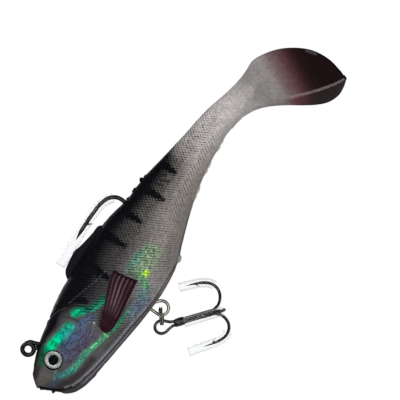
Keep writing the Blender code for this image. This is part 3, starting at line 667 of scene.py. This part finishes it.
def paint_skin(points, arc):
    """The linear colour at each point, and the masks that the skin's material reads."""
    y = points[:, 1]
    share = depth_share(points[:, 0], points[:, 2])
    x, z = side_view(*points.T)
    lines = hatching(points[:, 0], points[:, 2], arc)
    cut = cut_depth(*lines)
    upper = curve_at(UPPER_TONE, x)[:, 0]
    lower = curve_at(LOWER_TONE, x)[:, 0]
    drop = 0.05 * ease(34, 40, x)
    tone = upper + (lower - upper) * ease(0.3 + drop, 0.72 + drop, share)
    tone = tone * (1 - 0.15 * ease(0.74, 0.9, share) * ease(36, 46, x))
    # Darker towards the very top and bottom of each loop, up to the wrist: painted shade where the body
    # turns away at its edges.
    rim = np.maximum(ease(0.965, 0.998, share), fade(0.01, 0.04, share))
    tone = tone * (1 - 0.3 * rim * fade(84, 87.5, x))
    swept = x + 0.5 * np.clip(-6 - z, 0, 40)
    on_paddle = ease(95.0, 101.0, x)
    tone = tone * (1 - on_paddle) + curve_at(PADDLE_TONE, np.clip(swept, 98, 130))[:, 0] * on_paddle
    keel_x, keel_z = np.array(KEEL_LINE).T
    beyond_keel = ease(0.0, 0.6, np.interp(x, keel_x, keel_z) - z) * ease(97, 100, x)
    tone = tone * (1 - 0.08 * beyond_keel * fade(105, 108, x))
    tone = tone * (1 + 0.3 * beyond_keel * ease(104, 107, x))
    tone = tone * (1 + 0.03 * ripple(x, z, 1.6, 0.4) + 0.03 * ripple(x, z, 5.0, 2.0))
    warm = ease(20, 50, x) - 0.5 * ease(66, 80, x)
    maroon = np.maximum(ease(102.5, 115.5, swept), beyond_keel) * ease(97, 101, x)
    red = tone * (1.0 + 0.02 * warm + 0.14 * maroon)
    green = tone * (0.985 - 0.01 * warm - 0.32 * maroon)
    blue = tone * (1.0 - 0.055 * warm - 0.27 * maroon)
    colour = srgb(red.clip(0, 255), green.clip(0, 255), blue.clip(0, 255)).T
    foil = np.zeros(len(x))

    def lay(code, mask):
        colour[:] = toward(colour, code, np.clip(mask, 0, 1)[:, None])

    def lay_marks(marks):
        for code, width, soft, strength, line in marks:
            lay(code, stroke(x, z, line, width, soft) * strength)

    lay_marks(UNDER_MARKS_SHADE_AND_HIGHLIGHTS)
    for code, width, soft, line in FOIL_STROKES:
        mask = stroke(x, z, line, width, soft)
        crackle = 0.84 + 0.2 * ripple(x, z, 1.1, width)
        lay(code, mask * crackle)
        foil = np.maximum(foil, mask)
    full, none = curve_at(BACK, np.clip(x, -8, 80)).T
    reach = z + (0.9 + 0.5 * ripple(x, z, 1.3, 6.0)) * (cut - 0.35) * ease(16, 20, x)
    black = np.clip((reach - none) / (full - none), 0, 1) ** (1.25 + 0.45 * ease(35, 40, x))
    black = np.where(x < 78, black, 0)
    for back_x, tip_x, tip_z, wide, narrow in BARS:
        down = np.clip((0.8 - z) / (0.8 - tip_z), 0, 1.3)
        middle = back_x + (tip_x - back_x) * down
        ragged = 0.25 * ripple(x, z, 0.7, back_x) + 0.5 * (cut - 0.4)
        width = wide + (narrow - wide) * np.clip(down, 0, 1) ** 1.3 + ragged
        bar = fade(width - 0.35, width + 0.4, np.abs(x - middle)) * fade(0.94, 1.06, down)
        black = np.maximum(black, bar)
    for dash in DASHES:
        black = np.maximum(black, 0.9 * stroke(x, z, dash, 0.3, 0.4))
    foil *= 1 - black
    # Painted shadow on the flank just under the pectoral fin's lower edge.
    lay("242526", stroke(x, z, ((21.0, -15.9), (28.6, -15.9)), 0.25, 1.1) * 0.65)
    lay("0d0d11", black)
    dots = 0.55 + 0.45 * np.cos(2 * math.pi * x / 0.62)
    line_on = ease(35, 38, x) * fade(58, 68, x)
    lay("161313", line_on * dots * fade(0.1, 0.34, np.abs(z - LATERAL_Z)) * 0.4)
    lay("0a0708", stroke(x, z, LIP_LINE, 0.32, 0.5) * (x < -1.5))
    lay("0a0708", front_mouth(x, y, z))
    lay("141012", stroke(x, z, JAW_LINE, 0.16, 0.4) * (1 - 0.5 * ease(30, 44, x)))
    lay_marks(OVER_MARKS_AND_HIGHLIGHTS)
    lay("a5a19c", ease(0.988, 0.997, share) * ease(55, 60, x) * fade(84, 88, x) * 0.8)
    lay("8f8a86", ease(0.985, 0.997, share) * fade(0.5, 1.6, np.abs(x - BELLY_NUB_X)) * 0.8)
    from_eye = np.hypot(points[:, 0] - EYE_CENTRE[0], points[:, 2] - EYE_CENTRE[1])
    lay("07090a", fade(2.66, 2.9, from_eye))
    # A lighter, crumbly line along the keel's ridge: painted highlight.
    crumb = 0.65 + 0.45 * ripple(x, z, 0.6, 3.0)
    keel_highlight = fade(0.08, 0.32, line_distance(x, z, KEEL_LINE)) * ease(98.5, 101, x)
    lay("84767a", keel_highlight * crumb * 0.75)
    lay("0b090a", fade(0.5, 0.8, np.hypot(x - KEEL_NUB[0], z - KEEL_NUB[1])))
    return colour, {"foil": foil, **dict(zip(("lean", "cross", "on_lean", "on_cross"), lines))}


def soft_skin(name, shaped, smooth, arc, skin):
    """One length of skin, painted by the places that its points have before the relief."""
    colour, masks = paint_skin(closed_tube(smooth)[0], np.concatenate((arc.ravel(), arc[[0, -1], 0])))
    obj = make_piece(name, closed_tube(shaped), skin, colour, masks)
    for face in obj.data.polygons:
        if len(face.vertices) == 3 and abs(face.center.x - SEAM_X * MM) < 0.001 * MM:
            face.use_smooth = False
    return obj


def nose_rows(first):
    """A few shrinking loops that round off the snout."""
    centre = first.mean(0)
    rows = []
    for angle in (85, 65, 42, 20):
        loop = centre + (first - centre) * math.cos(math.radians(angle))
        loop[:, 0] -= 0.25 * math.sin(math.radians(angle))
        rows.append(loop)
    return np.array(rows)


def build_skins(skin):
    share = np.linspace(0, 1, round((SEAM_X - BODY[0][0]) / SKIN_STEP) + 1)
    front_xs = BODY[0][0] + (SEAM_X - BODY[0][0]) * (0.12 * share**2 + 0.88 * share)
    rear_xs = np.arange(SEAM_X, BODY[-1][0] - 0.1, SKIN_STEP)[1:]
    front = body_grid(front_xs)
    front = np.concatenate((nose_rows(front[0]), front))
    paddle = paddle_grid(np.linspace(0, PADDLE[-1][0], 150))
    smooth = np.concatenate((front, body_grid(rear_xs), paddle))
    shaped, arc, split = on_skin(smooth), side_arc(smooth)[0], len(front)
    front_skin = soft_skin("front_skin", shaped[:split], smooth[:split], arc[:split], skin)
    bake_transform(front_skin)
    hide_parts("front_body", "tail_stem")
    split -= 1
    tail_skin = soft_skin("tail_skin", shaped[split:], smooth[split:], arc[split:], skin)
    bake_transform(tail_skin)
    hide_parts("paddle_tail")


# Fins


def sheet_shape(middle, normal, thick):
    """A closed sheet over a grid of middle points, with this half thickness along the normals."""
    over, under = middle + normal * thick[..., None], middle - normal * thick[..., None]
    grid = np.concatenate((over, under[:, ::-1]), axis=1)
    return closed_tube(grid)


def pectoral_fin(side, word, skin):
    u = np.linspace(0, 1, 90)
    v = np.linspace(0, 1, 90)
    edge = curve_at(PECTORAL, u)
    upper, lower = edge[:, None, :2], edge[:, None, 2:]
    flat = upper + (lower - upper) * v[None, :, None]
    wave = 0.5 + 0.5 * np.cos(2 * math.pi * PECTORAL_RIBS * v)
    ribs = (wave**3)[None] * ease(0.02, 0.35, u)[:, None]
    scallop = 0.35 * ease(0.9, 1.0, u)[:, None] * ribs
    bow = 0.5 * np.sin(math.pi * v)[None] * u[:, None]
    out = 0.3 * ribs + bow + np.zeros_like(flat[..., 0])
    along = flat[..., 0] + scallop
    middle = np.stack((along, side * out, flat[..., 1]), axis=2)
    turn = side * math.radians(PECTORAL_FLARE)
    x, y = middle[..., 0].copy(), middle[..., 1].copy()
    middle[..., 0] = x * math.cos(turn) - y * math.sin(turn) + PECTORAL_ROOT[0]
    middle[..., 1] = x * math.sin(turn) + y * math.cos(turn) + side * PECTORAL_ROOT[1]
    inward = fade(0.0, 0.1, u)[:, None] * side * 1.1
    middle[..., 1] -= inward
    normal = sheet_normals(middle)
    edge_round = np.sqrt(np.clip(np.sin(math.pi * v), 0, 1))[None] ** 0.5
    end_round = (1 - ease(0.97, 1.0, u) * 0.85)[:, None]
    thick = (0.5 - 0.24 * u)[:, None] * edge_round * end_round + 0.02
    base = hex_colour("29151c")
    # The ribs' crests are painted lighter in patches: painted highlights on the ridges.
    rib_highlight_patches = 0.55 + 0.45 * np.sin(5.3 * u + 1.0)[:, None] * np.cos(7.1 * v)[None]
    ridge = ease(0.84, 1.0, ribs) * ease(0.2, 0.55, u)[:, None] * rib_highlight_patches
    shade = toward(base, "86747a", 0.42 * ridge[..., None])
    shade = toward(shade, "120b0e", ease(0.93, 1.0, u)[:, None, None])
    shade = toward(shade, "150c10", ease(0.93, 1.0, v)[None, :, None])
    shade = np.concatenate((shade, shade[:, ::-1]), axis=1).reshape(-1, 3)
    colour = np.concatenate((shade, [base, base]))
    shape = sheet_shape(middle, normal, thick)
    fin = make_piece(f"pectoral_fin_skin_{word}", shape, skin, colour)
    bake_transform(fin)
    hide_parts(f"pectoral_fin_{word}")


def dorsal_fin(skin):
    """A low, thick-based fin of soft rays, sunk in the back."""
    outline = smooth_path(DORSAL_FIN, 14)
    xs, tops = outline[:, 0], outline[:, 1]
    roots = curve_at(BODY, xs)[:, 0] - 0.7
    tops = np.maximum(tops, roots + 0.75)
    v = np.linspace(0, 1, 26)
    height = roots[:, None] + (tops - roots)[:, None] * np.sin(v * math.pi / 2)[None]
    rays = 0.06 * np.sin(xs * 7.5)[:, None] * ease(0.2, 0.6, v)[None]
    half = 0.95 * np.cos(v * math.pi / 2)[None] ** 0.6 * np.ones_like(height) + rays
    half *= ease(22.0, 23.5, xs)[:, None] * (1 - ease(40.2, 41.8, xs)[:, None]) + 0.05
    x = np.broadcast_to(xs[:, None], height.shape)
    near = np.stack((x, -half.clip(0.03), height), axis=2)
    far = np.stack((x, half.clip(0.03), height), axis=2)
    points, faces = closed_tube(np.concatenate((near, far[:, ::-1]), axis=1))
    tone = 0.85 + 0.6 * ripple(points[:, 0], points[:, 2], 0.8, 5.0)
    colour = hex_colour("17161b") * tone[:, None].clip(0.4, 1.6)
    fin = make_piece("dorsal_fin", (points, faces), skin, colour)
    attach(fin, "lure")


# Eyes


def eye_matrix(side):
    x, z = EYE_CENTRE
    top, bottom, half = curve_at(BODY, x)[0]
    share = ((top - z) / (top - bottom)) ** (1 / WIDEST_LIFT)
    y = side * half * math.sin(math.acos(1 - 2 * share))
    out = Vector((-math.sin(math.radians(EYE_TURN)), side * math.cos(math.radians(EYE_TURN)), 0.0))
    return Matrix.Translation((x, y, z)) @ out.to_track_quat("Z", "Y").to_matrix().to_4x4()


def turned(profile, matrix, sides=72):
    """Points and faces of a closed solid turned from (radius, height) pairs, both ends on the axis."""
    angle = np.linspace(0, 2 * math.pi, sides, endpoint=False)
    grid = np.array([[(r * math.cos(a), r * math.sin(a), h) for a in angle] for r, h in profile])
    points, faces = closed_tube(grid)
    turn = np.array(matrix)
    return points @ turn[:3, :3].T + turn[:3, 3], faces, points


def build_eye(side, word, disc_skin, lens_skin):
    matrix = eye_matrix(side)
    points, faces, local = turned(smooth_path(IRIS_PROFILE, 4), matrix)
    radius = np.hypot(local[:, 0] * 0.95, local[:, 1] * 1.08)
    angle = np.arctan2(local[:, 1], local[:, 0])
    rays = 0.84 + 0.14 * np.sin(23 * angle) + 0.12 * np.sin(3 * angle + 1)
    silver = hex_colour("c2c4c0") * rays[:, None]
    black = np.maximum(fade(*PUPIL_EDGE, radius), ease(*RIM_EDGE, np.hypot(local[:, 0], local[:, 1])))
    colour = toward(silver, "0a0d0d", black[:, None])
    disc = make_piece(f"eye_iris_{word}", (points, faces), disc_skin, colour, {"black": black})
    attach(disc, "lure")
    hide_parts(f"eye_disc_{word}")
    slopes = np.radians(np.arange(1, 90, 5.5))
    dome = [(EYE_RADIUS * math.sin(a), -0.05 + 0.8 * math.cos(a)) for a in slopes]
    profile = dome + [(EYE_RADIUS, -0.2), (EYE_RADIUS - 0.2, -0.35), (1.5, -0.37), (0.02, -0.37)]
    points, faces, _ = turned(profile, matrix)
    lens = make_piece(f"eye_dome_{word}", (points, faces), lens_skin)
    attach(lens, "lure")
    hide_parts(f"eye_lens_{word}")


# Hooks, ring and covers


def metal_piece(name, shapes, skin, body, nodes):
    obj = make_piece(name, join_shapes(shapes), skin)
    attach(obj, body)
    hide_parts(*nodes)


def tie_ring_shape():
    """The line tie ring in the plane of symmetry. Its ends overlap by a few degrees."""
    angles = np.radians(np.linspace(*TIE_RING_TURN, 72))
    path = [(TIE_RING_RADIUS * math.cos(a), 0.0, TIE_RING_RADIUS * math.sin(a)) for a in angles]
    return closed_tube(wire_grid(path, TIE_RING_WIRE, 24))


def build_jig_hook(metal, clear):
    path = smooth_path(in_plane(JIG_HOOK), 12)
    wire = closed_tube(wire_grid(path, tip_radii(len(path), HOOK_WIRE, 0.055), 24))
    wrap = closed_tube(wire_grid(smooth_path(in_plane(JIG_WRAP), 8), JIG_WRAP_WIRE, 20))
    spur = barb(*in_plane(JIG_BARB), JIG_BARB_WIDTH)
    metal_piece("jig_hook_wire", [wire, tie_ring_shape(), wrap, spur], metal, "lure", ["jig_hook"])
    sleeve = sleeve_shape(smooth_path(in_plane(HOOK_COVER), 9), HOOK_COVER_RADIUS, HOOK_COVER_WALL)
    clear_piece("jig_hook_sleeve", sleeve, clear, "lure", "jig_hook_cover")


def clear_piece(name, shape, skin, body, node):
    obj = make_piece(name, shape, skin)
    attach(obj, body)
    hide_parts(node)


def build_hanger(metal):
    cx, cz = HANGER_CENTRE
    front = [(cx - HANGER_RADIUS, 0.0, z) for z in HANGER_FRONT_LEG]
    turns = [math.radians(a) for a in range(180, 376, 15)]
    loop = [(cx + HANGER_RADIUS * math.cos(a), 0.0, cz + HANGER_RADIUS * math.sin(a)) for a in turns]
    path = smooth_path(front + loop + in_plane(HANGER_REAR_LEG), 5)
    shape = closed_tube(wire_grid(path, HANGER_WIRE, 20))
    metal_piece("belly_hanger_wire", [shape], metal, "lure", ["belly_hanger"])


def build_split_ring(metal):
    cx, cz = RING_CENTRE
    long_way = np.array((math.cos(RING_LEAN), 0.0, math.sin(RING_LEAN)))
    sideways = np.array((0.0, 1.0, 0.0))
    axis = np.cross(long_way, sideways)
    turns = np.linspace(0, 2 - 2 / 22, 170)[:, None]
    angle = math.radians(90) + 2 * math.pi * turns
    path = np.array((cx, 0.0, cz)) + RING_RADIUS * (np.cos(angle) * long_way + np.sin(angle) * sideways)
    path = path + RING_PITCH * (turns - 1) * axis
    shape = closed_tube(wire_grid(path, RING_WIRE[0], 16, RING_WIRE[1] / RING_WIRE[0]))
    metal_piece("split_ring_wire", [shape], metal, "ring", ["split_ring"])


def treble_point(along, away, turn):
    """A point this far along the shank from the eye and this far from it, towards the arm at turn."""
    shank = np.array((math.cos(TREBLE_LEAN), 0.0, -math.sin(TREBLE_LEAN)))
    up = np.array((math.sin(TREBLE_LEAN), 0.0, math.cos(TREBLE_LEAN)))
    out = math.cos(math.radians(turn)) * np.array((0, -1, 0)) + math.sin(math.radians(turn)) * up
    return np.array((TREBLE_EYE[0], 0.0, TREBLE_EYE[1])) + along * shank + away * out


def treble_arm(turn):
    return smooth_path([treble_point(s, r, turn) for s, r in TREBLE_ARM], 8)


def treble_shank(turn, along):
    return [treble_point(s, TREBLE_WIRE_OFFSET, turn) for s in along]


def treble_barb(turn):
    base, tip = (treble_point(s, r, turn) for s, r in TREBLE_BARB)
    return barb(base, tip, TREBLE_BARB_WIDTH)


def build_treble(metal, braze, clear):
    up_turn, down_turn = ARM_TURNS[1:]
    first, second = [], []
    for along, away in TREBLE_EYE_HALF:
        lift = TREBLE_WIRE_OFFSET * 0.5 * min(max(along / 3.9, 0.0), 1.0)
        first.append(treble_point(along, away, 90.0) + (0, lift, 0))
        second.append(treble_point(along, -away, 90.0) + (0, lift, 0))
    loop = smooth_path(first + [treble_point(-TREBLE_EYE_RADIUS, 0, 0)] + second[::-1], 6)
    up_leg = [treble_arm(up_turn)[::-1], treble_shank(up_turn, np.linspace(14.5, 4.8, 14))]
    down_leg = [treble_shank(down_turn, np.linspace(4.8, 14.5, 14)), treble_arm(down_turn)]
    path = np.concatenate(up_leg + [loop] + down_leg)
    radii = tip_radii(len(path), TREBLE_WIRE, 0.065)
    radii = np.minimum(radii, radii[::-1])
    pair = closed_tube(wire_grid(path, radii, 20))
    collar = closed_tube(wire_grid([treble_point(a, 0.0, 0.0) for a in COLLAR_ALONG], COLLAR_RADII, 32))
    band = make_piece("treble_band", collar, braze)
    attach(band, "treble")
    shapes = [pair, treble_barb(up_turn), treble_barb(down_turn)]
    metal_piece("treble_pair_wire", shapes, metal, "treble", ["treble_double_hook"])
    side_turn = ARM_TURNS[0]
    shank = treble_shank(side_turn, np.linspace(4.2, 14.5, 16))
    path = np.concatenate((shank, treble_arm(side_turn)))
    single = closed_tube(wire_grid(path, tip_radii(len(path), TREBLE_WIRE, 0.12), 20))
    shapes = [single, treble_barb(side_turn)]
    metal_piece("treble_third_wire", shapes, metal, "treble", ["treble_single_hook"])
    for number, (turn, past_tip) in enumerate(zip(ARM_TURNS, COVER_PAST_TIP), 1):
        arm = treble_arm(turn)[-COVERED_ROWS:]
        last = treble_point(*TREBLE_ARM[-1], turn) - treble_point(*TREBLE_ARM[-2], turn)
        last = last / np.linalg.norm(last)
        path = np.concatenate((arm, [arm[-1] + last * past_tip * t for t in (0.25, 0.5, 0.75, 1.0)]))
        shape = sleeve_shape(path, COVER_RADIUS, COVER_WALL)
        clear_piece(f"treble_sleeve_{number}", shape, clear, "treble", f"treble_cover_{number}")


# Materials


def set_inputs(node, **values):
    """Sets a node's own values. An underscore stands for a space in an input's name."""
    for key, value in values.items():
        node.inputs[key.replace("_", " ")].default_value = value


class Nodes:
    """A material's node tree with short ways to add and link nodes."""

    def __init__(self, name):
        self.material = bpy.data.materials.new(name)
        self.material.use_nodes = True
        self.tree = self.material.node_tree
        self.shader = self.tree.nodes["Principled BSDF"]
        self.output = self.tree.nodes["Material Output"]

    def add(self, kind, **values):
        node = self.tree.nodes.new(kind)
        for key, value in values.items():
            setattr(node, key, value)
        return node

    def link(self, source, target):
        self.tree.links.new(source, target)

    def attribute(self, name):
        return self.add("ShaderNodeAttribute", attribute_name=name)

    def place(self):
        return self.add("ShaderNodeTexCoord").outputs["Object"]

    def noise(self, scale, detail=4.0, distortion=0.0, vector=None):
        """Noise in object space, or over a vector. The scale is in features per metre."""
        node = self.add("ShaderNodeTexNoise")
        set_inputs(node, Scale=scale, Detail=detail, Distortion=distortion)
        self.link(self.place() if vector is None else vector, node.inputs["Vector"])
        return node.outputs["Fac"]

    def mottled(self, scale, detail, low, high):
        """Noise whose usual span, 0.3 to 0.7, becomes low to high."""
        return self.ranged(self.noise(scale, detail), low, high, 0.3, 0.7)

    def ranged(self, value, low, high, from_low=0.0, from_high=1.0):
        node = self.add("ShaderNodeMapRange")
        set_inputs(node, From_Min=from_low, From_Max=from_high, To_Min=low, To_Max=high)
        self.link(value, node.inputs["Value"])
        return node.outputs["Result"]

    def math(self, operation, a, b):
        node = self.add("ShaderNodeMath", operation=operation)
        for socket, value in zip(node.inputs, (a, b)):
            if isinstance(value, (int, float)):
                socket.default_value = value
            else:
                self.link(value, socket)
        return node.outputs[0]

    def mix(self, kind, share, a, b):
        """A colour mix of this blend type. a and b are sockets or colours."""
        node = self.add("ShaderNodeMix", data_type="RGBA", blend_type=kind)
        pairs = ((0, share), (6, a), (7, b))
        for index, value in pairs:
            if hasattr(value, "is_output"):
                self.link(value, node.inputs[index])
            elif index == 0:
                node.inputs[0].default_value = value
            else:
                node.inputs[index].default_value = (*value, 1.0)
        return node.outputs[2]

    def feed(self, name, value):
        """Links a value to the shader's input of this name."""
        self.link(value, self.shader.inputs[name])

    def shade(self, colour, value, hue=None, saturation=1.0):
        """The colour times a value, and turned by a hue."""
        node = self.add("ShaderNodeHueSaturation")
        set_inputs(node, Saturation=saturation)
        self.link(colour, node.inputs["Color"])
        self.link(value, node.inputs["Value"])
        if hue is not None:
            self.link(hue, node.inputs["Hue"])
        return node.outputs["Color"]

    def bump(self, height, strength, distance):
        node = self.add("ShaderNodeBump")
        set_inputs(node, Strength=strength, Distance=distance)
        self.link(height, node.inputs["Height"])
        self.feed("Normal", node.outputs["Normal"])


def skin_material():
    """Soft plastic: painted, leaning scale lines, slightly mottled, with foil shining through in places."""
    made = Nodes("soft_skin")
    paint = made.attribute("paint").outputs["Color"]
    foil = made.attribute("foil").outputs["Fac"]
    cut = None
    for phase, on in (("lean", "on_lean"), ("cross", "on_cross")):
        wave = made.math("PINGPONG", made.attribute(phase).outputs["Fac"], 0.5)
        strength = made.attribute(on).outputs["Fac"]
        line = made.math("MULTIPLY", made.ranged(wave, 1.0, 0.0, 0.04, 0.3), strength)
        cut = line if cut is None else made.math("MAXIMUM", cut, line)
    uneven = made.ranged(made.noise(1300, 4), 0.3, 1.15, 0.36, 0.64)
    cut = made.math("MULTIPLY", cut, uneven)
    mottle = made.mottled(1100, 5, 0.84, 1.12)
    speck = made.ranged(made.noise(4200, 2), 0.55, 1.0, 0.27, 0.36)
    # The scale lines darken the paint to as little as a fifth: painted shade in their grooves.
    value = made.math("MULTIPLY", made.math("MULTIPLY", mottle, speck), made.ranged(cut, 1.0, 0.2))
    lift = made.ranged(made.attribute("on_lean").outputs["Fac"], 1.18, 1.34)
    value = made.math("MULTIPLY", value, lift)
    toned = made.shade(paint, value)
    turn = made.add("ShaderNodeMapping")
    set_inputs(turn, Rotation=(0.0, math.radians(25), 0.0), Scale=(0.8, 1.0, 1.3))
    made.link(made.place(), turn.inputs["Vector"])
    glint = made.ranged(made.noise(1300, 4, 0.8, turn.outputs["Vector"]), 0.42, 1.5, 0.34, 0.66)
    fleck = made.ranged(made.noise(2300, 2), 0.94, 1.35, 0.56, 0.66)
    hue = made.ranged(made.noise(380, 3, 0.6), 0.48, 0.52, 0.35, 0.65)
    shine = made.shade(toned, made.math("MULTIPLY", glint, fleck), hue, 1.1)
    made.feed("Base Color", made.mix("MIX", foil, toned, shine))
    rough = made.mottled(2600, 3, 0.36, 0.52)
    made.feed("Roughness", made.math("SUBTRACT", rough, made.math("MULTIPLY", foil, 0.08)))
    made.feed("Metallic", made.math("MULTIPLY", foil, 0.2))
    set_inputs(made.shader, Specular_IOR_Level=SKIN_GLOSS)
    grain = made.math("SUBTRACT", made.math("MULTIPLY", made.noise(3800, 4), 0.4), cut)
    made.bump(grain, 0.5, 0.00008)
    return made.material


def fin_material():
    made = Nodes("fin_skin")
    paint = made.attribute("paint").outputs["Color"]
    made.feed("Base Color", made.shade(paint, made.mottled(1300, 4, 0.8, 1.25)))
    made.feed("Roughness", made.mottled(2500, 3, 0.3, 0.46))
    set_inputs(made.shader, Specular_IOR_Level=SKIN_GLOSS)
    made.bump(made.noise(3000, 4), 0.3, 0.00006)
    return made.material


def metal_material(name, dark, light, rough):
    """Plated wire with a faint drawn mottle."""
    made = Nodes(name)
    colour = made.mix("MIX", made.ranged(made.noise(900, 4), 0.0, 1.0, 0.35, 0.65), dark, light)
    made.feed("Base Color", colour)
    made.feed("Roughness", made.mottled(2400, 3, *rough))
    set_inputs(made.shader, Metallic=1.0)
    made.bump(made.noise(5000, 3), 0.15, 0.00003)
    return made.material


def iris_material():
    made = Nodes("eye_print")
    paint = made.attribute("paint").outputs["Color"]
    black = made.attribute("black").outputs["Fac"]
    made.feed("Base Color", made.shade(paint, made.mottled(2600, 4, 0.8, 1.15)))
    made.feed("Metallic", made.ranged(black, 0.55, 0.0))
    made.feed("Roughness", made.mottled(1800, 2, 0.28, 0.42))
    set_inputs(made.shader, Specular_IOR_Level=SKIN_GLOSS)
    return made.material


def clear_material(name, tint, milk, haze, edge):
    """Clear plastic: nearly all see-through, glossy, and shown mostly by its edges."""
    made = Nodes(name)
    see = made.add("ShaderNodeBsdfTransparent")
    set_inputs(see, Color=(*tint, 1.0))
    cloud = made.mottled(500, 3, *haze)
    made.feed("Base Color", made.mix("MIX", cloud, milk, tint))
    made.feed("Roughness", made.mottled(1400, 2, 0.06, 0.16))
    rim = made.add("ShaderNodeLayerWeight")
    set_inputs(rim, Blend=0.5)
    grazing = made.math("POWER", rim.outputs["Facing"], 3.0)
    share = made.math("ADD", made.math("MULTIPLY", grazing, edge), cloud)
    blend = made.add("ShaderNodeMixShader")
    made.link(share, blend.inputs[0])
    made.link(see.outputs[0], blend.inputs[1])
    made.link(made.shader.outputs[0], blend.inputs[2])
    made.link(blend.outputs[0], made.output.inputs["Surface"])
    return made.material


def foil_material():
    made = Nodes("foil_film")
    share = made.ranged(made.noise(260, 4, 0.8), 0.0, 1.0, 0.35, 0.65)
    colour = made.mix("MIX", share, hex_colour("12c08a"), hex_colour("3a62b8"))
    made.feed("Base Color", colour)
    made.feed("Roughness", made.mottled(1500, 3, 0.15, 0.4))
    set_inputs(made.shader, Metallic=0.9)
    return made.material


def floor_material():
    made = Nodes("pale_floor")
    share = made.mottled(6, 3, 0.0, 1.0)
    made.feed("Base Color", made.mix("MIX", share, (0.86, 0.86, 0.86), (0.9, 0.9, 0.9)))
    set_inputs(made.shader, Roughness=0.9)
    return made.material


def dress_hidden_nodes():
    lead = metal_material("lead", (0.16, 0.165, 0.18), (0.3, 0.31, 0.33), (0.5, 0.75))
    foil = foil_material()
    for node, skin in (("head_weight", lead), ("foil_left", foil), ("foil_right", foil)):
        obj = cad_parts[node]
        obj.data.materials.clear()
        obj.data.materials.append(skin)


# Stage


def area_light(name, place, aim, size, power):
    data = bpy.data.lights.new(name, "AREA")
    data.shape = "DISK"
    data.size = size
    data.energy = power
    obj = add_object(name, data)
    obj.location = place
    obj.rotation_euler = (Vector(aim) - Vector(place)).to_track_quat("-Z", "Y").to_euler()


def build_stage():
    turns = np.radians(range(0, 360, 5))
    rim = [(FLOOR_X + FLOOR_RADIUS * math.cos(a), FLOOR_RADIUS * math.sin(a), FLOOR_Z) for a in turns]
    floor = make_mesh("floor", rim, [tuple(range(len(rim)))])
    floor.data.materials.append(floor_material())
    scene = bpy.context.scene
    scene.view_settings.view_transform = "Standard"
    world = bpy.data.worlds.new("studio")
    scene.world = world
    world.use_nodes = True
    tree = world.node_tree
    background = tree.nodes["Background"]
    set_inputs(background, Color=(1.0, 1.0, 1.0, 1.0))
    seen = tree.nodes.new("ShaderNodeLightPath")
    level = tree.nodes.new("ShaderNodeMapRange")
    set_inputs(level, To_Min=SKY_LIGHT)
    tree.links.new(seen.outputs["Is Camera Ray"], level.inputs["Value"])
    tree.links.new(level.outputs["Result"], background.inputs["Strength"])
    for name, place, size, power in LIGHTS:
        area_light(name, place, LIGHTS_AIM, size, power)


def build_camera():
    data = bpy.data.cameras.new("camera")
    data.lens = CAMERA_LENS
    data.sensor_width = 36.0
    data.clip_start = 0.01
    camera = add_object("camera", data)
    right = Vector((math.cos(CAMERA_ROLL), 0, -math.sin(CAMERA_ROLL)))
    up = Vector((math.sin(CAMERA_ROLL), 0, math.cos(CAMERA_ROLL)))
    back = Vector((0, -1, 0))
    turn = Matrix((right, up, back)).transposed().to_4x4()
    place = Vector((CAMERA_AIM[0], -CAMERA_AWAY, CAMERA_AIM[1])) * MM
    camera.matrix_world = Matrix.Translation(place) @ turn
    bpy.context.scene.camera = camera


build_camera()
build_stage()
skin = skin_material()
fin_skin = fin_material()
metal = metal_material("black_nickel", (0.014, 0.014, 0.015), (0.06, 0.058, 0.056), (0.2, 0.34))
steel = metal_material("worn_steel", (0.08, 0.072, 0.066), (0.27, 0.245, 0.22), (0.18, 0.3))
oxide = metal_material("black_oxide", (0.006, 0.006, 0.007), (0.026, 0.025, 0.025), (0.25, 0.4))
braze = metal_material("blackened_braze", (0.015, 0.015, 0.015), (0.05, 0.05, 0.05), (0.3, 0.45))
clear = clear_material("clear_sleeve", (0.99, 0.992, 0.994), (0.42, 0.43, 0.44), (0.0, 0.02), 0.8)
dome = clear_material("eye_dome", (0.97, 0.98, 0.98), (0.05, 0.05, 0.05), (0.0, 0.02), 0.3)
build_skins(skin)
dorsal_fin(skin)
for side, word in ((-1, "left"), (1, "right")):
    pectoral_fin(side, word, fin_skin)
    build_eye(side, word, iris_material(), dome)
build_jig_hook(oxide, clear)
build_hanger(steel)
build_split_ring(steel)
build_treble(metal, braze, clear)
dress_hidden_nodes()
